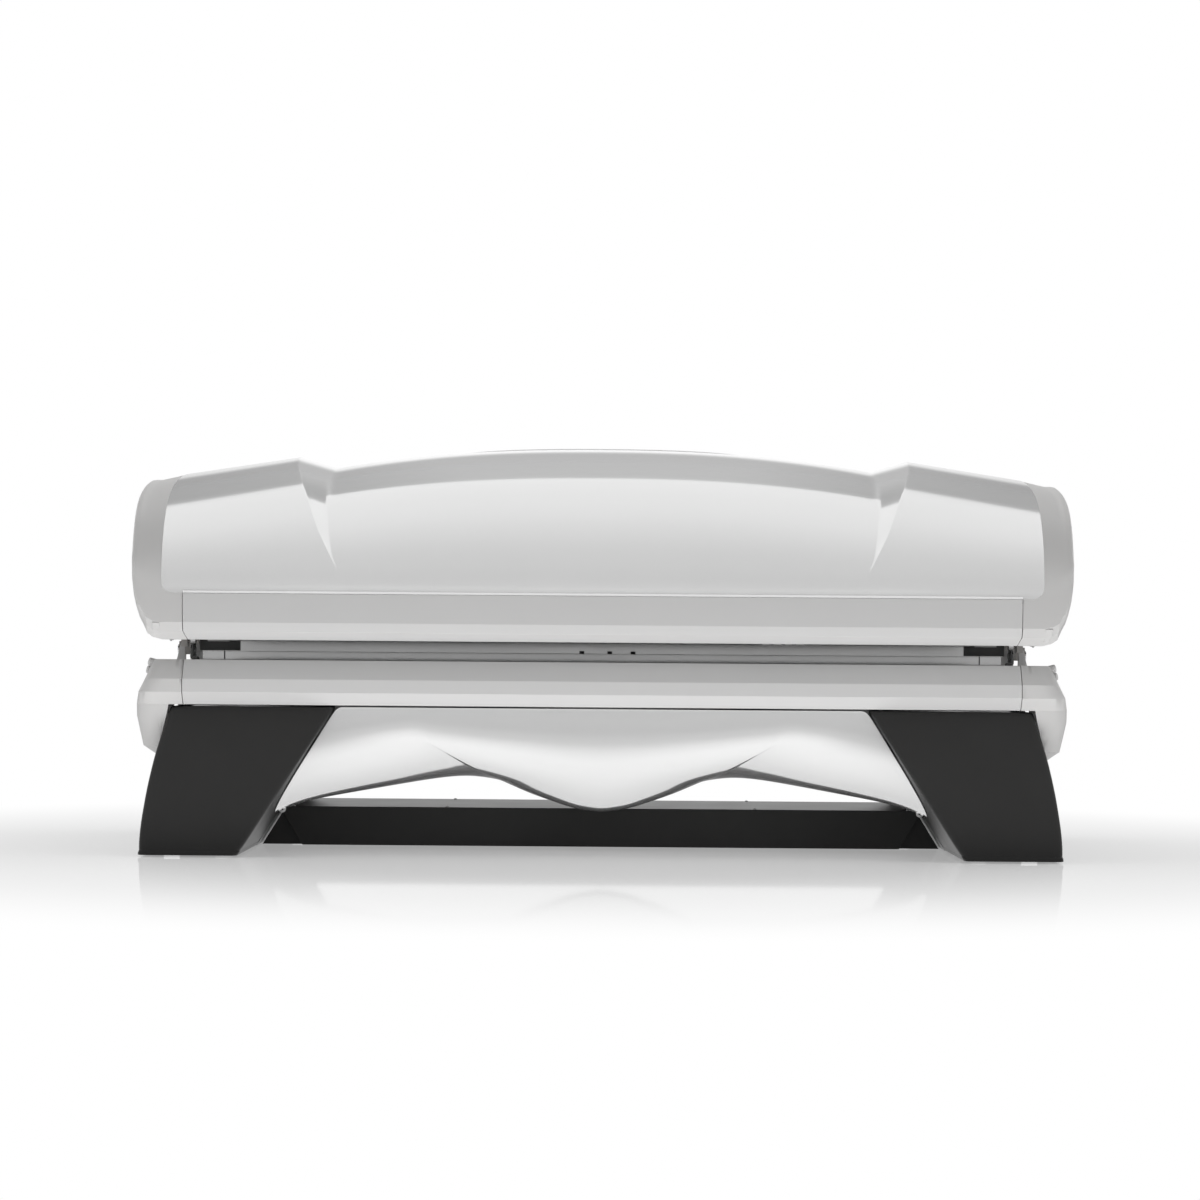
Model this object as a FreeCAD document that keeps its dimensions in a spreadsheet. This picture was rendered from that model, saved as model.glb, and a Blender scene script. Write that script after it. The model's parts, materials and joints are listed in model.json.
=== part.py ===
"""Clamshell tanning bed: a parametric FreeCAD document in millimetres.

+X runs along the bed, the front faces -Y, +Z is up and the origin is the middle of
the floor area.  Driving sizes are cells of the sheet; every sub-part is one object
whose Label is its name.
"""
import FreeCAD, Part
import math
import os

from FreeCAD import Placement, Rotation, Vector

DRIVING_SIZES = {
    # overall
    "bed_depth": 1100, "cap_parting": 1000, "trim_end": 950, "canopy_end": 1130,
    "base_end": 1117, "base_lip": 444, "canopy_lip": 489, "skin": 4, "sheet_metal": 2,
    # canopy outline
    "crest_height": 955, "valley_height": 906, "wing_height": 932, "wing_end_height": 889,
    "valley_reach": 640, "ridge_reach": 729, "fold_foot": 604, "panel_foot": 595,
    # tanning tunnel
    "bench_radius": 1025, "bench_low": 346, "bench_half": 435, "bench_middle": -5,
    "arch_apex": 770, "arch_half": 430, "arch_foot": 500, "acrylic": 6,
    # lamps
    "lamp_radius": 19, "lamp_glass_half": 855, "lamp_half": 880, "lamp_pitch": 66.5,
    "lower_lamp_count": 12, "upper_lamp_count": 16, "holder_length": 24,
    # legs and floor
    "leg_depth": 400, "leg_top": 338, "leg_foot": 4, "pad_height": 20, "pad_radius": 25,
    "box_top": 93, "box_front": -50, "box_depth": 450, "box_end": 771,
    # frame
    "rail_low": 205, "rail_height": 50,
    # hinge and gas struts
    "hinge_back": 500, "hinge_height": 470, "pin_radius": 8, "running_gap": 0.05,
    "strut_reach": 1046, "strut_back": 430, "strut_low": 250, "strut_high": 490,
    "strut_length": 241.1, "strut_lean": 0.41, "stud_radius": 4, "stud_room": 3,
    # fans and buttons
    "fan_size": 120, "fan_height": 38, "fan_bore": 56, "fan_rotor": 53, "fan_hub": 20,
}

doc = FreeCAD.newDocument("tanning_bed")
sheet = doc.addObject("Spreadsheet::Sheet", "sizes")
for row, (alias, size) in enumerate(DRIVING_SIZES.items(), start=1):
    sheet.set("A%d" % row, alias)
    sheet.set("B%d" % row, str(size))
    sheet.setAlias("B%d" % row, alias)
doc.recompute()


def size(alias):
    """The value of one cell of the sheet."""
    return float(sheet.get(alias))


sub_parts = []
BOTH_SIDES = (("left", -1), ("right", 1))


def keep(item, label):
    """Name an object as a sub-part."""
    item.Label = label
    sub_parts.append(item)
    return item


def bind(item, **expressions):
    """Bind properties to cells; a plain number is set as it is."""
    for name, value in expressions.items():
        if isinstance(value, str):
            item.setExpression(name, value.replace("@", "sizes."))
        else:
            setattr(item, name, value)
    return item


def block(low, high):
    """A plain box between two corners."""
    item = doc.addObject("Part::Box", "block")
    spans = [b - a for a, b in zip(low, high)]
    item.Length, item.Width, item.Height = spans
    item.Placement = Placement(Vector(*low), Rotation())
    return item


def square_tube(low, high, along, wall):
    """A square tube between two corners, open at both ends of one axis."""
    inner_low, inner_high = list(low), list(high)
    for axis in range(3):
        inset = -1 if axis == along else wall
        inner_low[axis] += inset
        inner_high[axis] -= inset
    return block(low, high), block(inner_low, inner_high)


def welded(tubes, solids=()):
    """Tubes joined into one frame and then opened inside."""
    outside = fused([outer for outer, inner in tubes] + list(solids))
    return cut(outside, fused([inner for outer, inner in tubes]))


def rod(foot, direction, radius, length):
    """A round bar; radius and length may be expressions on the sheet."""
    item = doc.addObject("Part::Cylinder", "rod")
    bind(item, Radius=radius, Height=length)
    item.Placement = Placement(Vector(*foot), Rotation(Vector(0, 0, 1), Vector(*direction)))
    return item


def fused(items):
    item = doc.addObject("Part::MultiFuse", "joined")
    item.Shapes = items
    return item


def grouped(items):
    item = doc.addObject("Part::Compound", "group")
    item.Links = items
    return item


def cut(base, tool):
    item = doc.addObject("Part::Cut", "cut")
    item.Base = base
    item.Tool = tool
    return item


def feature(shape):
    """A shape made with Part's own functions."""
    item = doc.addObject("Part::Feature", "form")
    item.Shape = shape
    item.Placement = Placement()
    return item


def plane_of(body, role):
    return [face for face in body.Origin.OriginFeatures if face.Role == role][0]


def padded_sketch(edges, role, length, middle=True, offset=0.0):
    """A body with one sketch of lines and arcs, padded by a cell of the sheet."""
    body = doc.addObject("PartDesign::Body", "body")
    body.AllowCompound = True
    sketch = body.newObject("Sketcher::SketchObject", "outline")
    sketch.AttachmentSupport = [(plane_of(body, role), "")]
    sketch.MapMode = "FlatFace"
    sketch.AttachmentOffset = Placement(Vector(0, 0, offset), Rotation())
    sketch.addGeometry(edges, False)
    pad = body.newObject("PartDesign::Pad", "pad")
    pad.Profile = sketch
    if middle:
        pad.SideType = "Symmetric"
    bind(pad, Length=length)
    sketch.Visibility = False
    return body


def polygon_edges(points):
    """Line segments round a closed outline of 2-D points."""
    corners = [Vector(u, v, 0) for u, v in points]
    return [Part.LineSegment(a, b) for a, b in zip(corners, corners[1:] + corners[:1])]


def shifted_path(path, thickness):
    """The path moved to its left by the thickness, with mitred corners."""
    moved = []
    for index, (u, v) in enumerate(path):
        normals = []
        for a, b in ((index - 1, index), (index, index + 1)):
            if a < 0 or b >= len(path):
                continue
            du, dv = path[b][0] - path[a][0], path[b][1] - path[a][1]
            run = math.hypot(du, dv)
            normals.append((-dv / run, du / run))
        nu = sum(n[0] for n in normals) / len(normals)
        nv = sum(n[1] for n in normals) / len(normals)
        stretch = thickness / (nu * nu + nv * nv)
        moved.append((u + nu * stretch, v + nv * stretch))
    return moved


def folded_strip(path, thickness):
    """The closed outline of a folded strip of sheet, thickened to the left of its path."""
    return path + shifted_path(path, thickness)[::-1]


def ring_sector(centre, inner, outer, start, end):
    """Sketch edges of a ring sector; angles in radians from the sketch's first axis."""
    middle = Vector(centre[0], centre[1], 0)
    up = Vector(0, 0, 1)
    arcs = [Part.ArcOfCircle(Part.Circle(middle, up, r), start, end) for r in (inner, outer)]
    lines = [Part.LineSegment(getattr(arcs[0], e), getattr(arcs[1], e))
             for e in ("StartPoint", "EndPoint")]
    return arcs + lines


def mirrored_in_x(shape):
    return shape.mirror(Vector(), Vector(1, 0, 0))


def polygon_face(points, to_space):
    corners = [to_space(u, v) for u, v in points]
    return Part.Face(Part.makePolygon(corners + corners[:1]))


def prism_along_x(points, start, end):
    """Extrude a (y, z) outline along X."""
    face = polygon_face(points, lambda y, z: Vector(start, y, z))
    return face.extrude(Vector(end - start, 0, 0))


def prism_along_y(points, start, end):
    """Extrude an (x, z) outline along Y."""
    face = polygon_face(points, lambda x, z: Vector(x, start, z))
    return face.extrude(Vector(0, end - start, 0))


# --- outlines shared by several pieces -----------------------------------------------

BENCH_MIDDLE = size("bench_middle")
BENCH_AXIS_Z = size("bench_low") + size("bench_radius")
ARCH_RISE = size("arch_apex") - size("arch_foot")
ARCH_RADIUS = (size("arch_half") ** 2 + ARCH_RISE ** 2) / (2 * ARCH_RISE)
ARCH_AXIS_Z = size("arch_apex") - ARCH_RADIUS

# the canopy's outer outline over its middle, from the front foot over the crest
CANOPY_OUTLINE = [(-500, 595), (-499, 660), (-479, 745), (-432, 825), (-362, 880),
                  (-270, 915), (-160, 940), (-40, 955), (90, 948), (220, 916),
                  (340, 858), (430, 770), (480, 670), (500, 562)]
# how far out the wing's ridge lies at each of the outline's front points
FRONT_RIDGE = [607, 608, 649, 678, 698, 713, 723, 729]
FRONT_POINTS = len(FRONT_RIDGE)
CROWN = 2.4


def crest_over_middle(x):
    sag = size("crest_height") - size("valley_height")
    return size("crest_height") - sag * (abs(x) / size("valley_reach")) ** CROWN


def crest_over_wing(x):
    fall = size("wing_height") - size("wing_end_height")
    reach = size("cap_parting") - size("ridge_reach")
    return size("wing_height") - fall * (abs(x) - size("ridge_reach")) / reach


def fold_at(index, height):
    """How far out the valley and the ridge of the fold lie at one outline point."""
    if index >= FRONT_POINTS:
        return size("valley_reach"), size("ridge_reach")
    share = (height - size("panel_foot")) / (size("crest_height") - size("panel_foot"))
    valley = size("fold_foot") + (size("valley_reach") - size("fold_foot")) * share
    return min(valley, FRONT_RIDGE[index] - 3), FRONT_RIDGE[index]


def canopy_outline(x):
    """Points of the canopy's outer outline at one station along the bed."""
    full = size("crest_height") - size("panel_foot")
    points = []
    for index, (y, z) in enumerate(CANOPY_OUTLINE):
        valley, ridge = fold_at(index, z)
        if abs(x) <= valley:
            crest = crest_over_middle(x)
        elif abs(x) >= ridge:
            crest = crest_over_wing(x)
        else:
            share = (abs(x) - valley) / (ridge - valley)
            crest = crest_over_middle(valley) * (1 - share) + crest_over_wing(ridge) * share
        rise = max(z - size("panel_foot"), -40)
        points.append((y, size("panel_foot") + rise * (crest - size("panel_foot")) / full))
    return points


def curve_through(points):
    curve = Part.BSplineCurve()
    curve.interpolate(points)
    return curve.toShape()


def moved_out(points, distance):
    """Points moved along the outline's outward normal."""
    moved = []
    last = len(points) - 1
    for index, (y, z) in enumerate(points):
        ahead, behind = points[min(index + 1, last)], points[max(index - 1, 0)]
        dy, dz = ahead[0] - behind[0], ahead[1] - behind[1]
        run = math.hypot(dy, dz)
        moved.append((y - dz / run * distance, z + dy / run * distance))
    return moved


def skin_section(x, first, last, outside, thickness):
    """A closed wire: a stretch of the outline and its parallel inside."""
    outline = canopy_outline(x)
    outer = moved_out(outline, outside)[first:last]
    inner = moved_out(outline, outside - thickness)[first:last]
    outer_edge = curve_through([Vector(x, y, z) for y, z in outer])
    inner_edge = curve_through([Vector(x, y, z) for y, z in inner])
    start = Part.makeLine(Vector(x, *outer[0]), Vector(x, *inner[0]))
    end = Part.makeLine(Vector(x, *outer[-1]), Vector(x, *inner[-1]))
    return Part.Wire([outer_edge, end, inner_edge, start])


def canopy_stations():
    """Stations from the middle to the right parting line, dense over the fold."""
    reach, ridge, end = size("fold_foot"), size("ridge_reach"), size("cap_parting")
    middle = [reach * share for share in (-1, -0.75, -0.5, -0.25, 0, 0.25, 0.5, 0.75, 1)]
    slope = [reach, 622, size("valley_reach"), 662, 685, 707, ridge]
    return middle, slope, [ridge, (ridge + end) / 2, end]


def canopy_skin(first, last, outside, thickness):
    """The shell over the whole panel length, built from smooth stretches."""
    middle, slope, wing = canopy_stations()
    solids = []
    for stations, ruled in ((middle, False), (slope, True), (wing, True)):
        wires = [skin_section(x, first, last, outside, thickness) for x in stations]
        solids.append(Part.makeLoft(wires, True, ruled))
    solids += [mirrored_in_x(solid) for solid in solids[1:]]
    return solids[0].multiFuse(solids[1:]).removeSplitter()


# --- legs and floor ------------------------------------------------------------------

FRONT_REACH = size("bed_depth") / 2
LEG_OUTER = [(984, 324), (1008, 237), (1025, 152), (1036, 75), (1041, size("leg_foot"))]
LEG_INNER = [(816, size("leg_foot")), (606, size("leg_top"))]
LEG_FRONT = [(FRONT_REACH, size("leg_foot")), (FRONT_REACH - 4, 60), (FRONT_REACH - 28, 200),
             (474, size("leg_top"))]


def leg_outline(inset):
    """The leg's outline across the bed, pulled in by an inset."""
    outer = [(x - inset, z) for x, z in LEG_OUTER]
    inner = [(x + inset * 1.2, z) for x, z in LEG_INNER]
    top_outer = (LEG_OUTER[0][0] - 3 - inset, LEG_INNER[-1][1])
    if inset > 0:
        return ([(outer[-1][0] + 0.4, -20)] + outer[::-1]
                + [(top_outer[0], 360), (inner[-1][0] - 14, 360), (inner[0][0] + 12.6, -20)])
    return outer[::-1] + [top_outer, inner[-1], inner[0]]


def leg_side(inset):
    """The leg's outline seen from the bed's end, facing forwards."""
    front = [(-y + inset, z) for y, z in LEG_FRONT]
    back = size("leg_depth") - FRONT_REACH
    if inset > 0:
        front = [(front[0][0], -20)] + front + [(front[-1][0], 360)]
        back += 20
    return front + [(back, front[-1][1]), (back, front[0][1])]


def leg_cover():
    """A moulded leg cover, open at its top, back and bottom."""
    outside = prism_along_y(leg_outline(0), -600, -100)
    outside = outside.common(prism_along_x(leg_side(0), 500, 1100))
    inside = prism_along_y(leg_outline(size("skin")), -600, -100)
    inside = inside.common(prism_along_x(leg_side(size("skin")), 500, 1100))
    return outside.cut(inside)


TUBE_X = (870, 930)
UPRIGHTS_Y = ((-250, -200), (300, 350))
END_TUBE_X = (955, 985)
ARM_Y = (470, 530)
RAIL_TOP = size("rail_low") + size("rail_height")
END_TUBE_TOP = RAIL_TOP + 40
TUB_SIDE = ((446, 345), (300, 255))


def box_between(low, high, room=0.0):
    """A box shape between two corners, grown by some room on every side."""
    spans = [b - a + 2 * room for a, b in zip(low, high)]
    return Part.makeBox(*spans, Vector(*[a - room for a in low]))


def bed_room():
    """Where the tub, rails and arms pass through the leg covers, on the right."""
    room = 3
    (wide, shoulder), (flat, floor) = TUB_SIDE
    outline = [(wide + room, 420), (wide + room, shoulder - 1.5), (flat + 1, floor - room)]
    tools = [prism_along_x(outline + [(-y, z) for y, z in outline[::-1]], 0, 951)]
    for front, back in UPRIGHTS_Y:
        tools.append(box_between((0, front, size("rail_low")),
                                 (END_TUBE_X[1], back, RAIL_TOP), room))
    tools.append(box_between((END_TUBE_X[0], -440, RAIL_TOP),
                             (END_TUBE_X[1], ARM_Y[1], END_TUBE_TOP), room))
    tools.append(box_between((END_TUBE_X[1], ARM_Y[0], RAIL_TOP),
                             (1090, ARM_Y[1], END_TUBE_TOP), room))
    return tools


def ballast_room():
    """Where the ballast box passes the rear leg cover's inner edge."""
    end, top = size("box_end") + 4, size("box_top") + 4
    outline = [(0, -20), (end - BOX_SLOPE, -20), (end, top - 6), (end, top), (0, top)]
    back = size("box_front") + size("box_depth") + 4
    return prism_along_y(outline, size("box_front") - 4, back)


BOX_SLOPE = 54
FRONT_LEG = leg_cover()
REAR_LEG = FRONT_LEG.mirror(Vector(), Vector(0, 1, 0)).cut(ballast_room())
for place, shape in (("front", FRONT_LEG), ("rear", REAR_LEG)):
    for tool in bed_room():
        shape = shape.cut(tool)
    for side, sign in BOTH_SIDES:
        own = shape if sign > 0 else mirrored_in_x(shape)
        keep(feature(own), "%s_leg_cover_%s" % (place, side))



INFILL_TOP = 78


def leg_infill(sign):
    """The plate that closes the leg's inner side between its covers, on two tabs."""
    (foot_x, foot), (top_x, top) = LEG_INNER
    lean = (top_x - foot_x) / (top - foot)
    high_x = foot_x + (INFILL_TOP - foot) * lean
    section = [(foot_x, foot), (high_x, INFILL_TOP), (high_x + 5, INFILL_TOP),
               (foot_x + 5, foot)]
    plate = prism_along_y(section, -149, 149)
    for front in (-110, 80):
        plate = plate.fuse(box_between((foot_x - 14, front, 26), (TUBE_X[0], front + 30, 30)))
    return feature(plate if sign > 0 else mirrored_in_x(plate))


for side, sign in BOTH_SIDES:
    low_x, high_x = sorted((sign * TUBE_X[0], sign * TUBE_X[1]))
    tubes = [square_tube((low_x, -500, size("pad_height")), (high_x, 500, 60), 1, 3)]
    for front, back in UPRIGHTS_Y:
        top = size("rail_low") - 1
        tubes.append(square_tube((low_x, front, 61), (high_x, back, top), 2, 3))
    pieces = []
    for front, back in UPRIGHTS_Y:
        pieces.append(block((low_x, front, 60), (high_x, back, 62)))
        pieces.append(block((low_x, front, size("rail_low") - 2),
                            (high_x, back, size("rail_low"))))
    for front in (20, 100):
        shelf_x = sorted((sign * 770, sign * (TUBE_X[0] + 6)))
        web_x = sorted((sign * TUBE_X[0], sign * (TUBE_X[0] + 6)))
        pieces.append(block((shelf_x[0], front, 82), (shelf_x[1], front + 40, 88)))
        pieces.append(block((web_x[0], front, 60), (web_x[1], front + 40, 88)))
    frame = fused([welded(tubes)] + pieces)
    keep(grouped([frame, leg_infill(sign)]), "leg_frame_%s" % side)

pads = [rod((x * 900, y * 450, 0), (0, 0, 1), "@pad_radius", "@pad_height")
        for x in (-1, 1) for y in (-1, 1)]
keep(grouped(pads), "foot_pads")

BOX_FRONT = size("box_front")
BOX_BACK = BOX_FRONT + size("box_depth")


def box_outline(inset):
    top, end = size("box_top") - size("sheet_metal"), size("box_end") - inset
    return [(-end, top), (-(end - BOX_SLOPE), inset), (end - BOX_SLOPE, inset), (end, top)]


box_skin = padded_sketch(polygon_edges(box_outline(0)), "XZ_Plane", "@box_depth",
                         middle=False, offset=-BOX_BACK)
box_room = feature(prism_along_y([(x, z + (6 if z > 50 else 0)) for x, z in box_outline(2)],
                                 BOX_FRONT + 2, BOX_BACK - 2))
gland_hole = rod((600, BOX_BACK - 10, 50), (0, 1, 0), 10, 20)
keep(cut(cut(box_skin, box_room), gland_hole), "ballast_box")
keep(block((-size("box_end") + 8, BOX_FRONT, size("box_top") - 2),
           (size("box_end") - 8, BOX_BACK, size("box_top"))), "ballast_lid")

ballasts = [block((x - 75, y - 22, 3), (x + 75, y + 22, 31))
            for x in range(-600, 301, 180) for y in (60, 140, 220, 300)]
keep(grouped(ballasts), "ballasts")
keep(block((440, 0, 3), (660, 340, 70)), "control_box")
gland = fused([rod((600, BOX_BACK - 12, 50), (0, 1, 0), 9.9, 30),
               rod((600, BOX_BACK, 50), (0, 1, 0), 15, 10)])
keep(cut(gland, rod((600, BOX_BACK - 20, 50), (0, 1, 0), 5, 50)), "mains_gland")

# --- base frame ----------------------------------------------------------------------

frame_tubes = [square_tube((-END_TUBE_X[1], front, size("rail_low")),
                           (END_TUBE_X[1], back, RAIL_TOP), 0, 2.5)
               for front, back in UPRIGHTS_Y]
for x in (-500, 0, 500):
    frame_tubes.append(square_tube((x - 20, UPRIGHTS_Y[0][1] + 1, size("rail_low") + 8),
                            (x + 20, UPRIGHTS_Y[1][0] - 1, RAIL_TOP), 1, 2))
cross_ends = [block((x - 20, y, size("rail_low") + 8), (x + 20, y + 2, RAIL_TOP))
              for x in (-500, 0, 500) for y in (UPRIGHTS_Y[0][1], UPRIGHTS_Y[1][0] - 2)]
arms_out = []
for side, sign in BOTH_SIDES:
    xs = sorted((sign * END_TUBE_X[0], sign * END_TUBE_X[1]))
    frame_tubes.append(square_tube((xs[0], -440, RAIL_TOP), (xs[1], ARM_Y[1], END_TUBE_TOP),
                                   1, 2.5))
    xs = sorted((sign * (END_TUBE_X[1] - 2), sign * 1090))
    arms_out.append(block((xs[0], ARM_Y[0], RAIL_TOP), (xs[1], ARM_Y[1], RAIL_TOP + 6)))
    arms_out.append(block((xs[0], ARM_Y[0], END_TUBE_TOP - 6), (xs[1], ARM_Y[1], END_TUBE_TOP)))
    arms_out.append(block((xs[0], ARM_Y[0], RAIL_TOP), (xs[1], ARM_Y[0] + 6, END_TUBE_TOP)))
keep(fused([welded(frame_tubes)] + cross_ends + arms_out), "base_frame")

# --- tub, bench and lower lamps --------------------------------------------------------

TUB_PATH = [(-425, 427), (-446, 427), (-446, 345), (-300, 255), (300, 255),
            (446, 345), (446, 427), (425, 427)]
tub_skin = padded_sketch(polygon_edges(folded_strip(TUB_PATH, size("sheet_metal"))),
                         "YZ_Plane", 1896)
TUB_WALL = [(-430, 338), (-300, 257), (300, 257), (430, 338)]
tub_walls = []
for side, sign in BOTH_SIDES:
    start, end = sorted((sign * 946, sign * 948))
    tub_walls.append(feature(prism_along_x(TUB_WALL, start, end)))
keep(fused([tub_skin] + tub_walls), "base_tub")

bench_angle = math.asin(size("bench_half") / size("bench_radius"))
bench = padded_sketch(
    ring_sector((BENCH_MIDDLE, BENCH_AXIS_Z), size("bench_radius"),
                size("bench_radius") + size("acrylic"),
                -math.pi / 2 - bench_angle, -math.pi / 2 + bench_angle),
    "YZ_Plane", "2 * @trim_end - 4")
keep(bench, "bench_acrylic")


def lamp_centres(centre, radius, count, downwards):
    """Centres of a row of lamps on an arc, (angle, y, z)."""
    step = size("lamp_pitch") / radius
    centres = []
    for index in range(int(count)):
        angle = (index - (count - 1) / 2) * step
        reach = -radius * math.cos(angle) if downwards else radius * math.cos(angle)
        centres.append((angle, centre[0] + radius * math.sin(angle), centre[1] + reach))
    return centres


def lamp_row(name, centre, radius, count, downwards):
    """Glass tubes, end caps and holders of one row of lamps."""
    walls, caps, holders = [], [], []
    for angle, y, z in lamp_centres(centre, radius, count, downwards):
        for wall_radius in (size("lamp_radius"), size("lamp_radius") - 1):
            walls.append(Part.Circle(Vector(y, z, 0), Vector(0, 0, 1), wall_radius))
        for side, sign in BOTH_SIDES:
            start = min(sign * size("lamp_glass_half"), sign * size("lamp_half"))
            caps.append(rod((start, y, z), (1, 0, 0), "@lamp_radius - 0.4",
                            "@lamp_half - @lamp_glass_half"))
            holder = doc.addObject("Part::Box", "holder")
            bind(holder, Length="@holder_length")
            holder.Width, holder.Height = 30, 44
            start = min(sign * size("lamp_half"),
                        sign * (size("lamp_half") + size("holder_length")))
            tilt = math.degrees(angle) * (1 if downwards else -1)
            turn = Rotation(Vector(1, 0, 0), tilt)
            corner = turn.multVec(Vector(0, -15, -22))
            holder.Placement = Placement(Vector(start, y, z) + corner, turn)
            holders.append(holder)
    keep(padded_sketch(walls, "YZ_Plane", "2 * @lamp_glass_half"), name + "_lamps")
    keep(grouped(caps), name + "_lamp_caps")
    keep(grouped(holders), name + "_lampholders")


LAMP_ROOM = 12
lower_lamp_arc = size("bench_radius") + size("acrylic") + LAMP_ROOM + size("lamp_radius")
lamp_row("lower", (BENCH_MIDDLE, BENCH_AXIS_Z), lower_lamp_arc, size("lower_lamp_count"), True)
lower_mirror_radius = lower_lamp_arc + size("lamp_radius") + 5
mirror_angle = math.asin(412 / lower_mirror_radius)
keep(padded_sketch(ring_sector((BENCH_MIDDLE, BENCH_AXIS_Z), lower_mirror_radius,
                               lower_mirror_radius + 1.5, -math.pi / 2 - mirror_angle,
                               -math.pi / 2 + mirror_angle), "YZ_Plane", 1870),
     "lower_reflector")

# --- covers of the base ------------------------------------------------------------------

LIP = size("base_lip")
FRONT_TRIM_PATH = [(-448, LIP), (-470, LIP), (-500, 400), (-500, 370), (-475, 342),
                   (-456, 342)]
keep(padded_sketch(polygon_edges(folded_strip(FRONT_TRIM_PATH, 3)), "YZ_Plane",
                   "2 * @trim_end"), "base_front_trim")
REAR_RIM = 465
REAR_COVER_PATH = [(456, 342), (475, 342), (500, 370), (500, 440), (480, REAR_RIM),
                   (450, REAR_RIM), (448, 440)]
RIM_END = 1030
rim_ends = [feature(box_between((min(a, b), 449, LIP + 0.2), (max(a, b), 451, REAR_RIM)))
            for a, b in ((size("trim_end"), RIM_END), (-RIM_END, -size("trim_end")))]
rear_strip = padded_sketch(polygon_edges(folded_strip(REAR_COVER_PATH, 2)), "YZ_Plane",
                           "2 * @trim_end")
keep(grouped([rear_strip] + rim_ends), "base_rear_cover")

BASE_END = size("base_end")
# level, reach at the rear, reach at the front, depth from the middle
CAP_LEVELS = [(226, 1076, 1019, 430), (247, 1105, 1046, 452), (315, BASE_END, 1059, 470),
              (342, BASE_END, 1059, 476), (370, 1115, 1052, 500), (400, 1102, 1037, 500),
              (LIP, 1073, 1022, 470)]


def rounded_corner(before, point, after):
    """An arc from one point to another that stands in for the corner between them."""
    toward = (before - point) + (after - point)
    return Part.Arc(before, point + toward * (1 - math.sqrt(0.5)), after).toShape()


def cap_section(level, reaches, depth, inset, corner):
    """A level outline of the base's end cap with two round outer corners."""
    low = size("trim_end") - (20 if inset else 0)
    front = Vector(reaches[1] - inset, -depth + inset, level)
    back = Vector(reaches[0] - inset, depth - inset, level)
    along = (back - front).normalize() * corner
    inward = Vector(-corner, 0, 0)
    edges = [
        Part.makeLine(Vector(low, front.y, level), front + inward),
        rounded_corner(front + inward, front, front + along),
        Part.makeLine(front + along, back - along),
        rounded_corner(back - along, back, back + inward),
        Part.makeLine(back + inward, Vector(low, back.y, level)),
        Part.makeLine(Vector(low, back.y, level), Vector(low, front.y, level))]
    return Part.Wire(edges)


def bench_trough(radius):
    return Part.makeCylinder(radius, 600, Vector(900, BENCH_MIDDLE, BENCH_AXIS_Z),
                             Vector(1, 0, 0))


def base_end_cap():
    """A shell with facets like the trim's, a trough and room for leg, frame and post."""
    outside = Part.makeLoft([cap_section(z, (rear, front), y, 0, 46)
                             for z, rear, front, y in CAP_LEVELS], True, True)
    wall = size("skin")
    inner_levels = [(z + (wall if index == 0 else 0) - (wall if z > 440 else 0), *rest)
                    for index, (z, *rest) in enumerate(CAP_LEVELS)]
    inside = Part.makeLoft([cap_section(z, (rear, front), y, wall, 42)
                            for z, rear, front, y in inner_levels], True, True)
    inside = inside.cut(bench_trough(size("bench_radius") + wall + 2))
    shell = outside.cut(bench_trough(size("bench_radius") + 2)).cut(inside)
    shell = shell.cut(Part.makeBox(60, 1200, 142, Vector(930, -600, 200)))
    for start, end in ((-620, -146), (146, 620)):
        leg = [(x + 2.5, z) for x, z in LEG_OUTER]
        clear = leg[::-1] + [(leg[0][0], 341.5), (900, 341.5), (900, 4)]
        shell = shell.cut(prism_along_y(clear, start, end))
    for low, high in (((1033, 408, 300), (1098, 562, 500)), ((1033, 408, 232), (1066, 500, 300))):
        shell = shell.cut(box_between(low, high))
    return with_liner(shell, bench_trough(size("bench_radius") + wall + 2))


def with_liner(shell, liner_room):
    """The shell's lining sheet and its front and rear mouldings, as solids of one cap."""
    liner = shell.common(liner_room)
    moulding = shell.cut(liner_room)
    front = moulding.common(Part.makeBox(300, 700, 1200, Vector(900, -700, 0)))
    rear = moulding.common(Part.makeBox(300, 700, 1200, Vector(900, 0, 0)))
    return Part.makeCompound(liner.Solids + front.Solids + rear.Solids)


CAP_SHAPE = base_end_cap()
for side, sign in BOTH_SIDES:
    keep(feature(CAP_SHAPE if sign > 0 else mirrored_in_x(CAP_SHAPE)),
         "base_end_cap_%s" % side)

base_plugs = [rod((sign * 1066.8, -350, 328.5), (sign, -0.0617, 0), 12, 5)
              for side, sign in BOTH_SIDES]
keep(grouped(base_plugs), "base_side_plugs")

# --- lower front panel ---------------------------------------------------------------------

# lower edge of the panel: reach, depth from the middle, height
APRON_EDGE = [(769, 285, 89), (742, 280, 107), (670, 262, 125), (568, 240, 143),
              (437, 220, 165), (325, 205, 176), (279, 202, 174), (236, 200, 165),
              (160, 203, 132), (61, 196, 99), (0, 190, 91)]
APRON_TOP = (-462, 338)


def apron_section(x, depth, height):
    """A closed wire of the panel's curved section at one station."""
    wall = size("skin")
    bulge = (-452, height + 0.3 * (APRON_TOP[1] - height))
    foot = (-depth, height)
    steps = [index / 8 for index in range(9)]
    outer = [tuple((1 - t) ** 2 * a + 2 * t * (1 - t) * b + t * t * c
                   for a, b, c in zip(APRON_TOP, bulge, foot)) for t in steps]
    inner = moved_out(outer[::-1], -wall)[::-1]
    outer_edge = curve_through([Vector(x, y, z) for y, z in outer])
    inner_edge = curve_through([Vector(x, y, z) for y, z in inner])
    start = Part.makeLine(Vector(x, *outer[0]), Vector(x, *inner[0]))
    end = Part.makeLine(Vector(x, *outer[-1]), Vector(x, *inner[-1]))
    return Part.Wire([outer_edge, end, inner_edge, start])


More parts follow.
